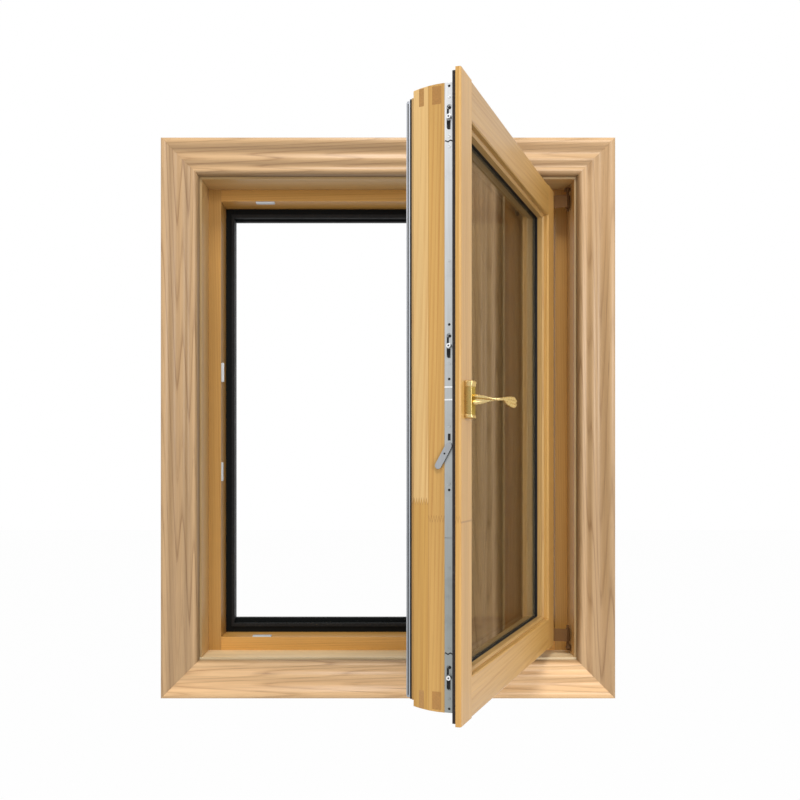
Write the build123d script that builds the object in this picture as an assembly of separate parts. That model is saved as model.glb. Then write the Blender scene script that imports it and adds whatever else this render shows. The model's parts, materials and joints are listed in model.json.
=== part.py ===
"""Inward-opening tilt-and-turn window: wooden casing, frame and sash, clad in aluminium outside.

X runs to the right, Y from the room to the outside and Z up. The origin lies on the back of the
bottom casing, where it bears on the wall. Every sash piece is drawn closed and then turned open.
"""
from build123d import *
from dataclasses import dataclass
from math import cos, radians, sin, sqrt
import os

# Opening, liner and casing
OPENING_WIDTH = 880.0
OPENING_HEIGHT = 1130.0
LINER_THICKNESS = 18.0
LINER_DEPTH = 95.0
CASING_WIDTH = 89.0
CASING_THICKNESS = 22.0
CASING_REVEAL = 5.0
CASING_ROUND = 3.0
CASING_BAND = 10.0
CASING_STEP = 1.5
OUTER_HOLLOW_WIDTH = 19.5
OUTER_HOLLOW_DEPTH = 7.5
MIDDLE_RIDGE_WIDTH = 21.0
MIDDLE_RIDGE_SHOULDER = 5.0
MIDDLE_RIDGE_FALL = 2.2
INNER_HOLLOW_DEPTH = 10.0
INNER_RIDGE_WIDTH = 17.0
INNER_RIDGE_SHOULDER = 8.2
INNER_RIDGE_FALL = 5.8
INNER_EDGE_WIDTH = 2.0
INNER_EDGE_FALL = 10.5
BACK_RELIEF = 1.5
RELIEF_MARGIN = 2.0

# Frame
BAND_SIDE = 30.0
BAND_TOP = 28.0
BAND_BOTTOM = 32.0
STOP_SIDE = 22.0
STOP_END = 23.0
SILL_LIP = 11.0
HEAD_LIP = 5.0
LIP_SETBACK = 17.0
FRAME_CLADDING_DEPTH = 32.0
FRAME_CLADDING_INSET = 6.0
STOP_SEAL = 5.5
SEAL_GAP = 1.0

# Sash section, across its width from the flange's edge and through its depth from the room
AIR_GAP = 9.0
FLANGE_OVERLAP = 18.0
FLANGE_THICKNESS = 9.5
FLANGE_ARRIS = 4.0
FLANGE_SEAL = 6.5
FLANGE_SEAL_INSET = 4.0
STILE_WIDTH = 71.0
INNER_CHAMFER = 2.0
SWELL_START = 34.5
SLOPE_DEPTH = 89.5
SLOPE_FALL = 5.5
NOSE_INSET = 32.0
NOSE_DEPTH = 95.5
EDGE_MARGIN = 1.0

# Glazing
GLASS_SETBACK = 30.6
GLASS_COVER = 9.0
GLASS_EDGE_GAP = 3.0
PANE_THICKNESS = 4.0
PANE_CAVITY = 16.0
SPACER_WIDTH = 12.0
SPACER_INSET = 2.0
BEAD_WIDTH = 6.0
BEAD_START = 10.0
BEAD_SPLAY = 3.5
GLAZING_SEAL = 5.6
SIGHT_SEAL = 0.5

# Aluminium on the outside of the sash
CLADDING_SEAL = 3.5
CLADDING_SEAL_INSET = 2.0
CLADDING_INSET = 35.0
CLADDING_SIGHT = 6.0
CLADDING_THICKNESS = 8.0
CLADDING_LEG = 7.0
CLADDING_ARRIS = 2.5
LEG_GAP = 0.3

# Lock on the leading edge: heights from the ends of the sash body, or from the handle's axis
PLATE_WIDTH = 16.0
PLATE_THICKNESS = 2.5
PLATE_CLEARANCE = 0.1
PLATE_JOINT = 0.6
TOP_PLATE_END = 98.0
GEARBOX_RISE = 22.0
GEARBOX_DROP = 23.0
LOWER_PLATE_END = 292.0
BOTTOM_PLATE_END = 99.0
GROOVE_DEPTH = 12.0
SLOT_LENGTH = 42.0
SLOT_WIDTH = 8.6
TOP_CAM_DROP = 58.0
MIDDLE_CAM_RISE = 86.5
BOTTOM_CAM_RISE = 59.0
CAM_RADIUS = 3.8
CAM_REACH = 5.0
ROD_WIDTH = 10.0
ROD_THICKNESS = 3.0
ROD_GAP = 0.5
ROD_END = 25.0

# Small lever below the gearbox
LIFT_DROP = 81.0
LIFT_LENGTH = 37.0
LIFT_WIDTH = 11.5
LIFT_THICKNESS = 4.0
LIFT_STANDOFF = 1.2
LIFT_SWING = 29.0
LIFT_PIN_RADIUS = 2.9
LIFT_PIN_CLEARANCE = 0.1

# Strikers on the frame
STRIKER_THICKNESS = 3.0
STRIKER_WIDTH = 18.0
STRIKER_LENGTH = 46.0
STRIKER_LIP = 7.0
STRIKER_LIP_THICKNESS = 2.4
STRIKER_EDGE = 0.2
UPPER_STRIKER_RISE = 115.0
LOWER_STRIKER_DROP = 129.0
HEAD_STRIKER_INSET = 108.0
SILL_STRIKER_INSET = 100.0

# Handle
HANDLE_INSET = 35.0
ROSETTE_WIDTH = 30.0
ROSETTE_HEIGHT = 64.0
ROSETTE_DEPTH = 12.0
ROSETTE_CORNER = 5.0
ROSETTE_ROUND = 3.0
NECK_RADIUS = 8.7
NECK_CLEARANCE = 0.3
NECK_TIP_RADIUS = 5.2
NECK_LENGTH = 50.0
SPINDLE_RADIUS = 4.0
SPINDLE_CLEARANCE = 0.4
SPINDLE_LENGTH = 20.0
HUB_RADIUS = 6.5
HUB_DEPTH = 13.0
LEVER_LENGTH = 124.0
LEVER_HEIGHTS = (9.5, 9.0, 11.5, 15.5, 18.5, 18.0, 13.0)
LEVER_THICKNESS = 8.0
LEVER_FLAT_SHARE = 0.55

# Hinges: a turning axis beside the liner, in front of the sash, and a tilting axis below the flange
AXIS_INSET = 6.5
AXIS_FORWARD = 31.0
TILT_DROP = 9.0
TURN_PIN_RADIUS = 3.5
TURN_PIN_CLEARANCE = 0.05
KNUCKLE_RADIUS = 5.5
KNUCKLE_LENGTH = 30.0
KNUCKLE_INSET = 8.0
TURN_PIN_END = 7.0
LEAF_THICKNESS = 2.0
BARREL_RADIUS = 5.0
BARREL_LENGTH = 9.0
TILT_PIN_RADIUS = 2.9
TILT_PIN_CLEARANCE = 0.1
LUG_GAP = 0.5
LUG_HEIGHT = 16.0
LUG_WIDTH = 26.0
ARM_THICKNESS = 3.0
CRADLE_WIDTH = 14.0
CRADLE_DEPTH = 9.0
CRADLE_HEIGHT = 8.0
CRADLE_GAP = 4.0
CRADLE_CLEARANCE = 0.3
TOP_PIN_RISE = 13.0

# Corner joints of the sash: tenons that show as end grain on the stile's edge
TENON_DEPTHS = ((39.0, 55.0), (70.0, 79.0))
TENON_HEIGHT = 30.0
TENON_SHOULDER = 4.0

OPEN_ANGLE = 70.5
SIDES = ("left", "right", "top", "bottom")

# Places worked out from the sizes above
half_opening = OPENING_WIDTH / 2
bearing_height = CASING_WIDTH - LINER_THICKNESS + CASING_REVEAL - RELIEF_MARGIN
casing_bottom = -bearing_height / 2
opening_bottom = casing_bottom + CASING_WIDTH + CASING_REVEAL
opening_top = opening_bottom + OPENING_HEIGHT
half_frame = half_opening + LINER_THICKNESS
frame_bottom = opening_bottom - LINER_THICKNESS
frame_top = opening_top + LINER_THICKNESS
frame_face = LINER_DEPTH
half_rebate = half_opening - BAND_SIDE
rebate_bottom = opening_bottom + BAND_BOTTOM
rebate_top = opening_top - BAND_TOP

half_sash = half_rebate - AIR_GAP + FLANGE_OVERLAP
sash_bottom = rebate_bottom + AIR_GAP - FLANGE_OVERLAP
sash_top = rebate_top - AIR_GAP + FLANGE_OVERLAP
sash_front = frame_face - SEAL_GAP - FLANGE_SEAL - FLANGE_THICKNESS
body_top = sash_top - FLANGE_OVERLAP
body_bottom = sash_bottom + FLANGE_OVERLAP
slope_inset = FLANGE_OVERLAP + SLOPE_FALL
stop_face = sash_front + SLOPE_DEPTH + STOP_SEAL + SEAL_GAP / 2

glass_rebate = STILE_WIDTH - GLASS_COVER
pane_inset = glass_rebate + GLASS_EDGE_GAP
pane_pitch = PANE_THICKNESS + PANE_CAVITY
glass_back = GLASS_SETBACK + 2 * pane_pitch + PANE_THICKNESS
bead_inset = STILE_WIDTH + BEAD_WIDTH
cladding_inner = bead_inset + CLADDING_SIGHT
cladding_front = NOSE_DEPTH + CLADDING_SEAL
cladding_back = cladding_front + CLADDING_THICKNESS

plate_depth = FLANGE_THICKNESS + FLANGE_SEAL + SEAL_GAP + PLATE_CLEARANCE + PLATE_WIDTH / 2
lock_edge = -half_sash + FLANGE_OVERLAP
rod_outer = lock_edge + PLATE_THICKNESS + ROD_GAP
lever_x = -half_sash + HANDLE_INSET
lever_z = (sash_bottom + sash_top) / 2
cam_heights = (body_top - TOP_CAM_DROP, lever_z + MIDDLE_CAM_RISE, body_bottom + BOTTOM_CAM_RISE)
lift_z = lever_z - LIFT_DROP

turn_x = half_opening - AXIS_INSET
turn_y = sash_front - AXIS_FORWARD
tilt_z = sash_bottom - TILT_DROP


@dataclass(frozen=True)
class Rectangle2:
    """An upright rectangle seen from the room, whose edge a profile follows."""

    left: float
    right: float
    bottom: float
    top: float

    def inset(self, side: float) -> "Rectangle2":
        """Return the rectangle drawn in by the same distance on every side."""
        return Rectangle2(self.left + side, self.right - side, self.bottom + side, self.top - side)


casing_edge = Rectangle2(-half_opening, half_opening, opening_bottom, opening_top).inset(
    -CASING_REVEAL - CASING_WIDTH
)
sash_edge = Rectangle2(-half_sash, half_sash, sash_bottom, sash_top)


def block(x0: float, x1: float, y0: float, y1: float, z0: float, z1: float) -> Part:
    """Return a plain block between two corners."""
    return Pos((x0 + x1) / 2, (y0 + y1) / 2, (z0 + z1) / 2) * Box(x1 - x0, y1 - y0, z1 - z0)


def rod(start: tuple, direction: tuple, radius: float, length: float) -> Part:
    """Return a round bar from a start point along a direction."""
    return extrude(Plane(origin=start, z_dir=direction) * Circle(radius), amount=length)


def side_plane(edge: Rectangle2, side: str, front: float = 0.0) -> tuple[Plane, float]:
    """Return the profile plane at the start of one side, and that side's length.

    The plane's own X points in from the rectangle's edge and its own Y points to the outside.
    """
    width = edge.right - edge.left
    height = edge.top - edge.bottom
    planes = {
        "left": (Plane((edge.left, front, edge.bottom), (1, 0, 0), (0, 0, 1)), height),
        "right": (Plane((edge.right, front, edge.top), (-1, 0, 0), (0, 0, -1)), height),
        "bottom": (Plane((edge.right, front, edge.bottom), (0, 0, 1), (-1, 0, 0)), width),
        "top": (Plane((edge.left, front, edge.top), (0, 0, -1), (1, 0, 0)), width),
    }
    return planes[side]


def side_bar(profile: Sketch, edge: Rectangle2, side: str, front: float = 0.0) -> Part:
    """Return a profile run along one whole side of a rectangle."""
    plane, length = side_plane(edge, side, front)
    return extrude(plane * profile, amount=length)


def mitred_bar(profile: Sketch, edge: Rectangle2, side: str, front: float = 0.0) -> Part:
    """Return a profile run along one side of a rectangle and cut at 45 degrees at both ends."""
    plane, length = side_plane(edge, side, front)
    box = profile.bounding_box()
    reach = box.max.X
    wedge = make_face(
        Polyline((0, 0), (reach, reach), (reach, length - reach), (0, length), close=True)
    )
    wedge_plane = Plane(plane.origin + plane.y_dir * box.max.Y, plane.x_dir, -plane.y_dir)
    flip = Plane(wedge_plane.origin, plane.x_dir, plane.y_dir)
    along = flip if flip.y_dir.dot(plane.z_dir) > 0 else wedge_plane
    depth = box.max.Y - box.min.Y
    cutter = extrude(along * wedge, amount=depth if along is wedge_plane else -depth)
    return extrude(plane * profile, amount=length) & cutter


def ring(edge: Rectangle2, outer: float, inner: float, y0: float, y1: float) -> Part:
    """Return a flat rectangular ring between two insets from a rectangle's edge."""
    out, hole = edge.inset(outer), edge.inset(inner)
    solid = block(out.left, out.right, y0, y1, out.bottom, out.top)
    return solid - block(hole.left, hole.right, y0, y1, hole.bottom, hole.top)


def casing_profile() -> Sketch:
    """Return the moulded casing section: a flat band, two hollows and two round ridges."""
    front = -CASING_THICKNESS
    hollow = CASING_BAND + CASING_STEP
    ridge = hollow + OUTER_HOLLOW_WIDTH
    ridge_end = ridge + MIDDLE_RIDGE_WIDTH
    lip = CASING_WIDTH - INNER_EDGE_WIDTH
    lip_ridge = lip - INNER_RIDGE_WIDTH
    shoulder, lip_shoulder = front + MIDDLE_RIDGE_SHOULDER, front + INNER_RIDGE_SHOULDER
    round_mid = CASING_ROUND * (1 - sqrt(0.5))
    inner_edge = front + INNER_EDGE_FALL
    edges = [
        Polyline((CASING_WIDTH, inner_edge), (CASING_WIDTH, -BACK_RELIEF), (bearing_height, -BACK_RELIEF),
                 (bearing_height, 0), (0, 0), (0, front + CASING_ROUND)),
        ThreePointArc((0, front + CASING_ROUND), (round_mid, front + round_mid), (CASING_ROUND, front)),
        Polyline((CASING_ROUND, front), (CASING_BAND, front), (hollow, front + CASING_STEP)),
        ThreePointArc((hollow, front + CASING_STEP),
                      ((hollow + ridge) / 2, front + OUTER_HOLLOW_DEPTH), (ridge, shoulder)),
        ThreePointArc((ridge, shoulder), ((ridge + ridge_end) / 2, front + MIDDLE_RIDGE_FALL),
                      (ridge_end, shoulder)),
        ThreePointArc((ridge_end, shoulder), ((ridge_end + lip_ridge) / 2, front + INNER_HOLLOW_DEPTH),
                      (lip_ridge, lip_shoulder)),
        ThreePointArc((lip_ridge, lip_shoulder), ((lip_ridge + lip) / 2, front + INNER_RIDGE_FALL),
                      (lip, lip_shoulder)),
        Line((lip, lip_shoulder), (CASING_WIDTH, inner_edge)),
    ]
    return make_face(edges)


def casing() -> dict[str, Part]:
    """Return the four mitred casing boards on the room side."""
    profile = casing_profile()
    return {f"casing_{side}": mitred_bar(profile, casing_edge, side) for side in SIDES}


def liner() -> dict[str, Part]:
    """Return the boards that line the wall's thickness between casing and frame."""
    x, wide, front = half_opening, half_frame, -BACK_RELIEF
    return {
        "liner_left": block(-wide, -x, front, frame_face, opening_bottom, opening_top),
        "liner_right": block(x, wide, front, frame_face, opening_bottom, opening_top),
        "liner_head": block(-wide, wide, front, frame_face, opening_top, frame_top),
        "liner_sill": block(-wide, wide, front, frame_face, frame_bottom, opening_bottom),
    }


def frame() -> dict[str, Part]:
    """Return the wooden frame: two full-height jambs with the head and sill between them."""
    x, wide = half_rebate, half_frame
    return {
        "frame_jamb_lock": block(-wide, -x, frame_face, stop_face, frame_bottom, frame_top),
        "frame_jamb_hinge": block(x, wide, frame_face, stop_face, frame_bottom, frame_top),
        "frame_head": block(-x, x, frame_face, stop_face, rebate_top, frame_top),
        "frame_sill": block(-x, x, frame_face, stop_face, frame_bottom, rebate_bottom),
    }


def frame_cladding() -> dict[str, Part]:
    """Return the dark aluminium stop round the outside of the frame, with its seal."""
    wide = half_frame - FRAME_CLADDING_INSET
    low, high = frame_bottom + FRAME_CLADDING_INSET, frame_top - FRAME_CLADDING_INSET
    x = half_rebate - STOP_SIDE
    back = stop_face + FRAME_CLADDING_DEPTH
    lip = stop_face + LIP_SETBACK
    sill_top, head_bottom = rebate_bottom + STOP_END, rebate_top - STOP_END
    sill = block(-x, x, stop_face, back, low, sill_top)
    sill += block(-x, x, lip, back, sill_top, sill_top + SILL_LIP)
    head = block(-x, x, stop_face, back, head_bottom, high)
    head += block(-x, x, lip, back, head_bottom - HEAD_LIP, head_bottom)
    step = sash_edge.inset(slope_inset)
    seal = block(step.left, step.right, stop_face - STOP_SEAL, stop_face, step.bottom, step.top)
    seal -= block(-x, x, stop_face - STOP_SEAL, stop_face, sill_top, head_bottom)
    return {
        "frame_cladding_lock": block(-wide, -x, stop_face, back, low, high),
        "frame_cladding_hinge": block(x, wide, stop_face, back, low, high),
        "frame_cladding_head": head,
        "frame_cladding_sill": sill,
        "frame_seal": seal,
    }


def strikers() -> dict[str, Part]:
    """Return the steel keeper plates let into the frame's rebate; a cam locks behind the lip."""
    near = frame_face + STRIKER_EDGE
    far = near + STRIKER_WIDTH
    half = STRIKER_LENGTH / 2
    wall = -half_rebate
    high, low = lever_z + UPPER_STRIKER_RISE, lever_z - LOWER_STRIKER_DROP
    upper, lower = (
        block(wall, wall + STRIKER_THICKNESS, near, far, z - half, z + half) for z in (high, low)
    )
    upper += block(wall, wall + STRIKER_LIP, near, near + STRIKER_LIP_THICKNESS, high - half, high + half)
    head_x, sill_x = wall + HEAD_STRIKER_INSET, wall + SILL_STRIKER_INSET
    head = block(head_x - half, head_x + half, near, far, rebate_top - STRIKER_THICKNESS, rebate_top)
    sill = block(sill_x - half, sill_x + half, near, far, rebate_bottom, rebate_bottom + STRIKER_THICKNESS)
    return {"strikers": Compound([upper, lower, head, sill])}


def hinge_bearings() -> dict[str, Part]:
    """Return the two bearings on the liner: a plate with the tilt pin, and an open cradle above."""
    plate_x = turn_x + BARREL_LENGTH / 2 + LUG_GAP
    plate = block(plate_x, half_opening, turn_y - LUG_WIDTH / 2, turn_y + LUG_WIDTH / 2,
                  tilt_z - LUG_HEIGHT / 2, tilt_z + LUG_HEIGHT / 2)
    plate += rod((plate_x, turn_y, tilt_z), (-1, 0, 0), TILT_PIN_RADIUS, BARREL_LENGTH)
    low = sash_top + CRADLE_GAP
    cradle = block(turn_x - CRADLE_WIDTH / 2, half_opening, turn_y, turn_y + CRADLE_DEPTH,
                   low, low + CRADLE_HEIGHT)
    cradle -= rod((turn_x, turn_y, low), (0, 0, 1), TURN_PIN_RADIUS + CRADLE_CLEARANCE, CRADLE_HEIGHT)
    return {"hinge_bearings": Compound([plate, cradle])}


def hinge_pivots() -> dict[str, Part]:
    """Return the pins that the sash turns on; the lower one rocks on the tilt pin."""
    half = BARREL_LENGTH / 2
    low = rod((turn_x - half, turn_y, tilt_z), (1, 0, 0), BARREL_RADIUS, BARREL_LENGTH)
    low_end = sash_bottom + KNUCKLE_INSET + KNUCKLE_LENGTH + TURN_PIN_END
    start = tilt_z + BARREL_RADIUS - 1
    low += rod((turn_x, turn_y, start), (0, 0, 1), TURN_PIN_RADIUS, low_end - start)
    bore = TILT_PIN_RADIUS + TILT_PIN_CLEARANCE
    low -= rod((turn_x - half, turn_y, tilt_z), (1, 0, 0), bore, BARREL_LENGTH)
    high_end = sash_top - KNUCKLE_INSET - KNUCKLE_LENGTH - TURN_PIN_END
    high = rod((turn_x, turn_y, high_end), (0, 0, 1), TURN_PIN_RADIUS, sash_top + TOP_PIN_RISE - high_end)
    return {"hinge_pivots": Compound([low, high])}


def hinge_leaves() -> dict[str, Part]:
    """Return the two knuckles on cranked leaves, which reach forward from the flange's edge."""
    leaves = []
    for low in (sash_bottom + KNUCKLE_INSET, sash_top - KNUCKLE_INSET - KNUCKLE_LENGTH):
        high = low + KNUCKLE_LENGTH
        leaf = block(half_sash, half_sash + LEAF_THICKNESS, turn_y - ARM_THICKNESS / 2,
                     sash_front + FLANGE_THICKNESS, low, high)
        leaf += block(half_sash, turn_x, turn_y - ARM_THICKNESS / 2, turn_y + ARM_THICKNESS / 2, low, high)
        leaf += rod((turn_x, turn_y, low), (0, 0, 1), KNUCKLE_RADIUS, KNUCKLE_LENGTH)
        bore = TURN_PIN_RADIUS + TURN_PIN_CLEARANCE
        leaves.append(leaf - rod((turn_x, turn_y, low), (0, 0, 1), bore, KNUCKLE_LENGTH))
    return {"hinge_leaves": Compound(leaves)}


def swell() -> ThreePointArc:
    """Return the swelling edge of the sash body, level at the lock and falling away to the nose."""
    middle = (SWELL_START + SLOPE_DEPTH) / 2
    return ThreePointArc((FLANGE_OVERLAP, SWELL_START), (FLANGE_OVERLAP + SLOPE_FALL / 4, middle),
                         (slope_inset, SLOPE_DEPTH))


def sash_profile() -> Sketch:
    """Return the section of stile and rail: flange, swelling edge, nose and glass rebate."""
    face = make_face([
        Polyline((slope_inset, SLOPE_DEPTH), (NOSE_INSET, SLOPE_DEPTH), (NOSE_INSET, NOSE_DEPTH),
                 (glass_rebate, NOSE_DEPTH), (glass_rebate, GLASS_SETBACK), (STILE_WIDTH, GLASS_SETBACK),
                 (STILE_WIDTH, INNER_CHAMFER), (STILE_WIDTH - INNER_CHAMFER, 0), (0, 0),
                 (0, FLANGE_THICKNESS), (FLANGE_OVERLAP, FLANGE_THICKNESS), (FLANGE_OVERLAP, SWELL_START)),
        swell(),
    ])
    corner = face.vertices().sort_by_distance((0, 0, 0))[0]
    return fillet(corner, FLANGE_ARRIS)


def edge_void() -> Sketch:
    """Return what lies outside the sash's edge behind the flange, to shape the stiles' ends."""
    beyond = NOSE_DEPTH + EDGE_MARGIN
    return make_face([
        Polyline((slope_inset, SLOPE_DEPTH), (NOSE_INSET, SLOPE_DEPTH), (NOSE_INSET, beyond),
                 (-EDGE_MARGIN, beyond), (-EDGE_MARGIN, FLANGE_THICKNESS),
                 (FLANGE_OVERLAP, FLANGE_THICKNESS), (FLANGE_OVERLAP, SWELL_START)),
        swell(),
    ])


def tenon_blocks(side: str) -> list[Part]:
    """Return the rough tenons of one stile's two corners, before they are cut flush."""
    near, far = FLANGE_OVERLAP, glass_rebate
    xs = (-half_sash + near, -half_sash + far) if side == "left" else (half_sash - far, half_sash - near)
    tops = (body_top - TENON_SHOULDER, body_bottom + TENON_SHOULDER + TENON_HEIGHT)
    return [
        block(*xs, sash_front + near_v, sash_front + far_v, top - TENON_HEIGHT, top)
        for top in tops
        for near_v, far_v in TENON_DEPTHS
    ]


def sash_wood() -> dict[str, Part]:
    """Return the stiles, full height, and the rails coped and tenoned between them."""
    profile, void = sash_profile(), edge_void()
    ends = [side_bar(void, sash_edge, side, sash_front) for side in ("top", "bottom")]
    stiles: dict[str, Part] = {}
    for side in ("left", "right"):
        stile = side_bar(profile, sash_edge, side, sash_front)
        for end in ends:
            stile -= end
        stiles[side] = stile
    inner = Rectangle2(-half_sash + glass_rebate, half_sash - glass_rebate, sash_bottom, sash_top)
    rails: dict[str, Part] = {}
    for side in ("top", "bottom"):
        rails[side] = side_bar(profile, inner, side, sash_front) - stiles["left"] - stiles["right"]
    for side, stile in list(stiles.items()):
        low, low2, high, high2 = tenon_blocks(side)
        for index, tenon in enumerate((low, low2, high, high2)):
            flush = tenon & stile
            rails["top" if index < 2 else "bottom"] += flush
            stiles[side] -= flush
    lock = stiles["left"]
    lock -= block(lock_edge, lock_edge + GROOVE_DEPTH,
                  sash_front + plate_depth - PLATE_WIDTH / 2 - PLATE_CLEARANCE,
                  sash_front + plate_depth + PLATE_WIDTH / 2 + PLATE_CLEARANCE, body_bottom, body_top)
    lock -= rod((lever_x, sash_front, lever_z), (0, 1, 0), SPINDLE_RADIUS + SPINDLE_CLEARANCE,
                SPINDLE_LENGTH + SPINDLE_CLEARANCE)
    return {
        "sash_stile_lock": lock,
        "sash_stile_hinge": stiles["right"],
        "sash_rail_top": rails["top"],
        "sash_rail_bottom": rails["bottom"],
    }


def glazing() -> dict[str, Part]:
    """Return the panes with their spacer, the inner beads and the black seals."""
    y = sash_front
    pane = sash_edge.inset(pane_inset)
    spacer = pane_inset + SPACER_INSET
    seal_front = GLASS_SETBACK - GLAZING_SEAL
    bead = make_face(Polyline(
        (STILE_WIDTH, BEAD_START), (bead_inset - BEAD_SPLAY, BEAD_START),
        (bead_inset, BEAD_START + BEAD_SPLAY), (bead_inset, seal_front), (STILE_WIDTH, seal_front),
        close=True,
    ))
    nodes = {
        f"glazing_bead_{side}": mitred_bar(bead, sash_edge, side, y)
        for side in SIDES
    }
    nodes["glazing_seal"] = ring(sash_edge, STILE_WIDTH, bead_inset + SIGHT_SEAL, y + seal_front,
                                 y + GLASS_SETBACK)
    starts = [y + GLASS_SETBACK + index * pane_pitch for index in range(3)]
    for name, front in zip(("inner", "middle", "outer"), starts):
        nodes[f"pane_{name}"] = block(pane.left, pane.right, front, front + PANE_THICKNESS,
                                      pane.bottom, pane.top)
    nodes["pane_spacer"] = Compound([
        ring(sash_edge, spacer, spacer + SPACER_WIDTH, front + PANE_THICKNESS, front + pane_pitch)
        for front in starts[:2]
    ])
    return nodes


def sash_cladding() -> dict[str, Part]:
    """Return the silver aluminium outside the sash, with the seals behind flange and cladding."""
    inner, arris = cladding_inner, CLADDING_ARRIS
    profile = make_face(Polyline(
        (CLADDING_INSET, cladding_front), (inner - CLADDING_LEG, cladding_front),
        (inner - CLADDING_LEG, glass_back + LEG_GAP), (inner, glass_back + LEG_GAP),
        (inner, cladding_back - arris), (inner - arris, cladding_back),
        (CLADDING_INSET + arris, cladding_back), (CLADDING_INSET, cladding_back - arris), close=True,
    ))
    nodes = {
        f"sash_cladding_{side}": mitred_bar(profile, sash_edge, side, sash_front)
        for side in SIDES
    }
    nodes["cladding_seal"] = ring(sash_edge, CLADDING_INSET - CLADDING_SEAL_INSET, glass_rebate,
                                  sash_front + NOSE_DEPTH, sash_front + cladding_front)
    nodes["flange_seal"] = ring(sash_edge, FLANGE_SEAL_INSET, FLANGE_OVERLAP, sash_front + FLANGE_THICKNESS,
                                sash_front + FLANGE_THICKNESS + FLANGE_SEAL)
    return nodes


def lock_faceplate() -> dict[str, Part]:
    """Return the slotted steel plates in the groove of the leading edge, end to end."""
    y = sash_front + plate_depth
    ends = (body_top, body_top - TOP_PLATE_END, lever_z + GEARBOX_RISE, lever_z - GEARBOX_DROP,
            body_bottom + LOWER_PLATE_END, body_bottom + BOTTOM_PLATE_END, body_bottom)
    holes = Part() + [
        extrude(Plane((lock_edge, y, height), (0, 0, 1), (1, 0, 0))
                * SlotOverall(SLOT_LENGTH, SLOT_WIDTH), amount=PLATE_THICKNESS)
        for height in cam_heights
    ]
    holes += rod((lock_edge, y, lift_z), (1, 0, 0), LIFT_PIN_RADIUS + LIFT_PIN_CLEARANCE, PLATE_THICKNESS)
    plates = []
    for high, low in zip(ends, ends[1:]):
        plate = block(lock_edge, lock_edge + PLATE_THICKNESS, y - PLATE_WIDTH / 2, y + PLATE_WIDTH / 2,
                      low + PLATE_JOINT / 2, high - PLATE_JOINT / 2)
        plates.append(plate - holes)
    return {"lock_faceplate": Compound(plates)}


def lock_rod() -> dict[str, Part]:
    """Return the sliding bar behind the faceplate, with the cams that reach out of its slots."""
    y = sash_front + plate_depth
    bar = block(rod_outer, rod_outer + ROD_THICKNESS, y - ROD_WIDTH / 2, y + ROD_WIDTH / 2,
                body_bottom + ROD_END, body_top - ROD_END)
    reach = rod_outer - lock_edge + CAM_REACH
    for height in cam_heights:
        bar += rod((rod_outer, y, height), (-1, 0, 0), CAM_RADIUS, reach)
    return {"lock_rod": bar}


def lift_lever() -> dict[str, Part]:
    """Return the small flat lever that hangs out across the edge, with its pin."""
    y = sash_front + plate_depth
    swing = radians(LIFT_SWING)
    plane = Plane((lock_edge - LIFT_STANDOFF, y, lift_z), (0, sin(swing), -cos(swing)), (-1, 0, 0))
    arm = Pos(LIFT_LENGTH / 2, 0) * SlotCenterToCenter(LIFT_LENGTH, LIFT_WIDTH)
    lever = extrude(plane * arm, amount=LIFT_THICKNESS)
    lever += rod((lock_edge - LIFT_STANDOFF, y, lift_z), (1, 0, 0), LIFT_PIN_RADIUS,
                 LIFT_STANDOFF + PLATE_THICKNESS)
    return {"lift_lever": lever}


def lever_section(height: float) -> Sketch:
    """Return the lever's flat six-sided section at one height."""
    high, thick = height / 2, LEVER_THICKNESS / 2
    flat = high * LEVER_FLAT_SHARE
    return make_face(Polyline((high, 0), (flat, thick), (-flat, thick), (-high, 0), (-flat, -thick),
                              (flat, -thick), close=True))


def handle() -> dict[str, Part]:
    """Return the rosette, the tapered neck with its spindle, and the lever that widens to its end."""
    outward = (0, -1, 0)
    face = Plane((lever_x, sash_front, lever_z), (0, 0, 1), outward)
    plate = RectangleRounded(ROSETTE_HEIGHT, ROSETTE_WIDTH, ROSETTE_CORNER)
    rosette = extrude(face * plate, amount=ROSETTE_DEPTH)
    rosette = fillet(rosette.faces().sort_by(Axis.Y)[0].edges(), ROSETTE_ROUND)
    rosette -= rod((lever_x, sash_front, lever_z), outward, NECK_RADIUS + NECK_CLEARANCE, ROSETTE_DEPTH)
    root_y = sash_front - NECK_CLEARANCE
    hub_y = root_y - NECK_LENGTH
    root, tip = (Plane((lever_x, y, lever_z), (0, 0, 1), outward) for y in (root_y, hub_y))
    neck = loft([root * Circle(NECK_RADIUS), tip * Circle(NECK_TIP_RADIUS)])
    neck += rod((lever_x, sash_front + SPINDLE_LENGTH, lever_z), outward, SPINDLE_RADIUS,
                SPINDLE_LENGTH + NECK_LENGTH / 2)
    lever = rod((lever_x, hub_y, lever_z), outward, HUB_RADIUS, HUB_DEPTH)
    sections = []
    for index, height in enumerate(LEVER_HEIGHTS):
        along = LEVER_LENGTH * index / (len(LEVER_HEIGHTS) - 1)
        plane = Plane((lever_x + along, hub_y - HUB_DEPTH / 2, lever_z), (0, 0, 1), (1, 0, 0))
        sections.append(plane * lever_section(height))
    lever += loft(sections, ruled=True)
    return {"handle_rosette": rosette, "handle_neck": neck, "handle_lever": lever}


turn_open = Pos(turn_x, turn_y, 0) * Rot(0, 0, OPEN_ANGLE) * Pos(-turn_x, -turn_y, 0)
fixed_pieces = (casing, liner, frame, frame_cladding, strikers, hinge_bearings, hinge_pivots)
turned_pieces = (sash_wood, glazing, sash_cladding, hinge_leaves, lock_faceplate, lock_rod, lift_lever,
                 handle)

os.makedirs("parts", exist_ok=True)
for make in fixed_pieces:
    for node, shape in make().items():
        export_step(shape, f"parts/{node}.step")
for make in turned_pieces:
    for node, shape in make().items():
        export_step(turn_open * shape, f"parts/{node}.step")
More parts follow.
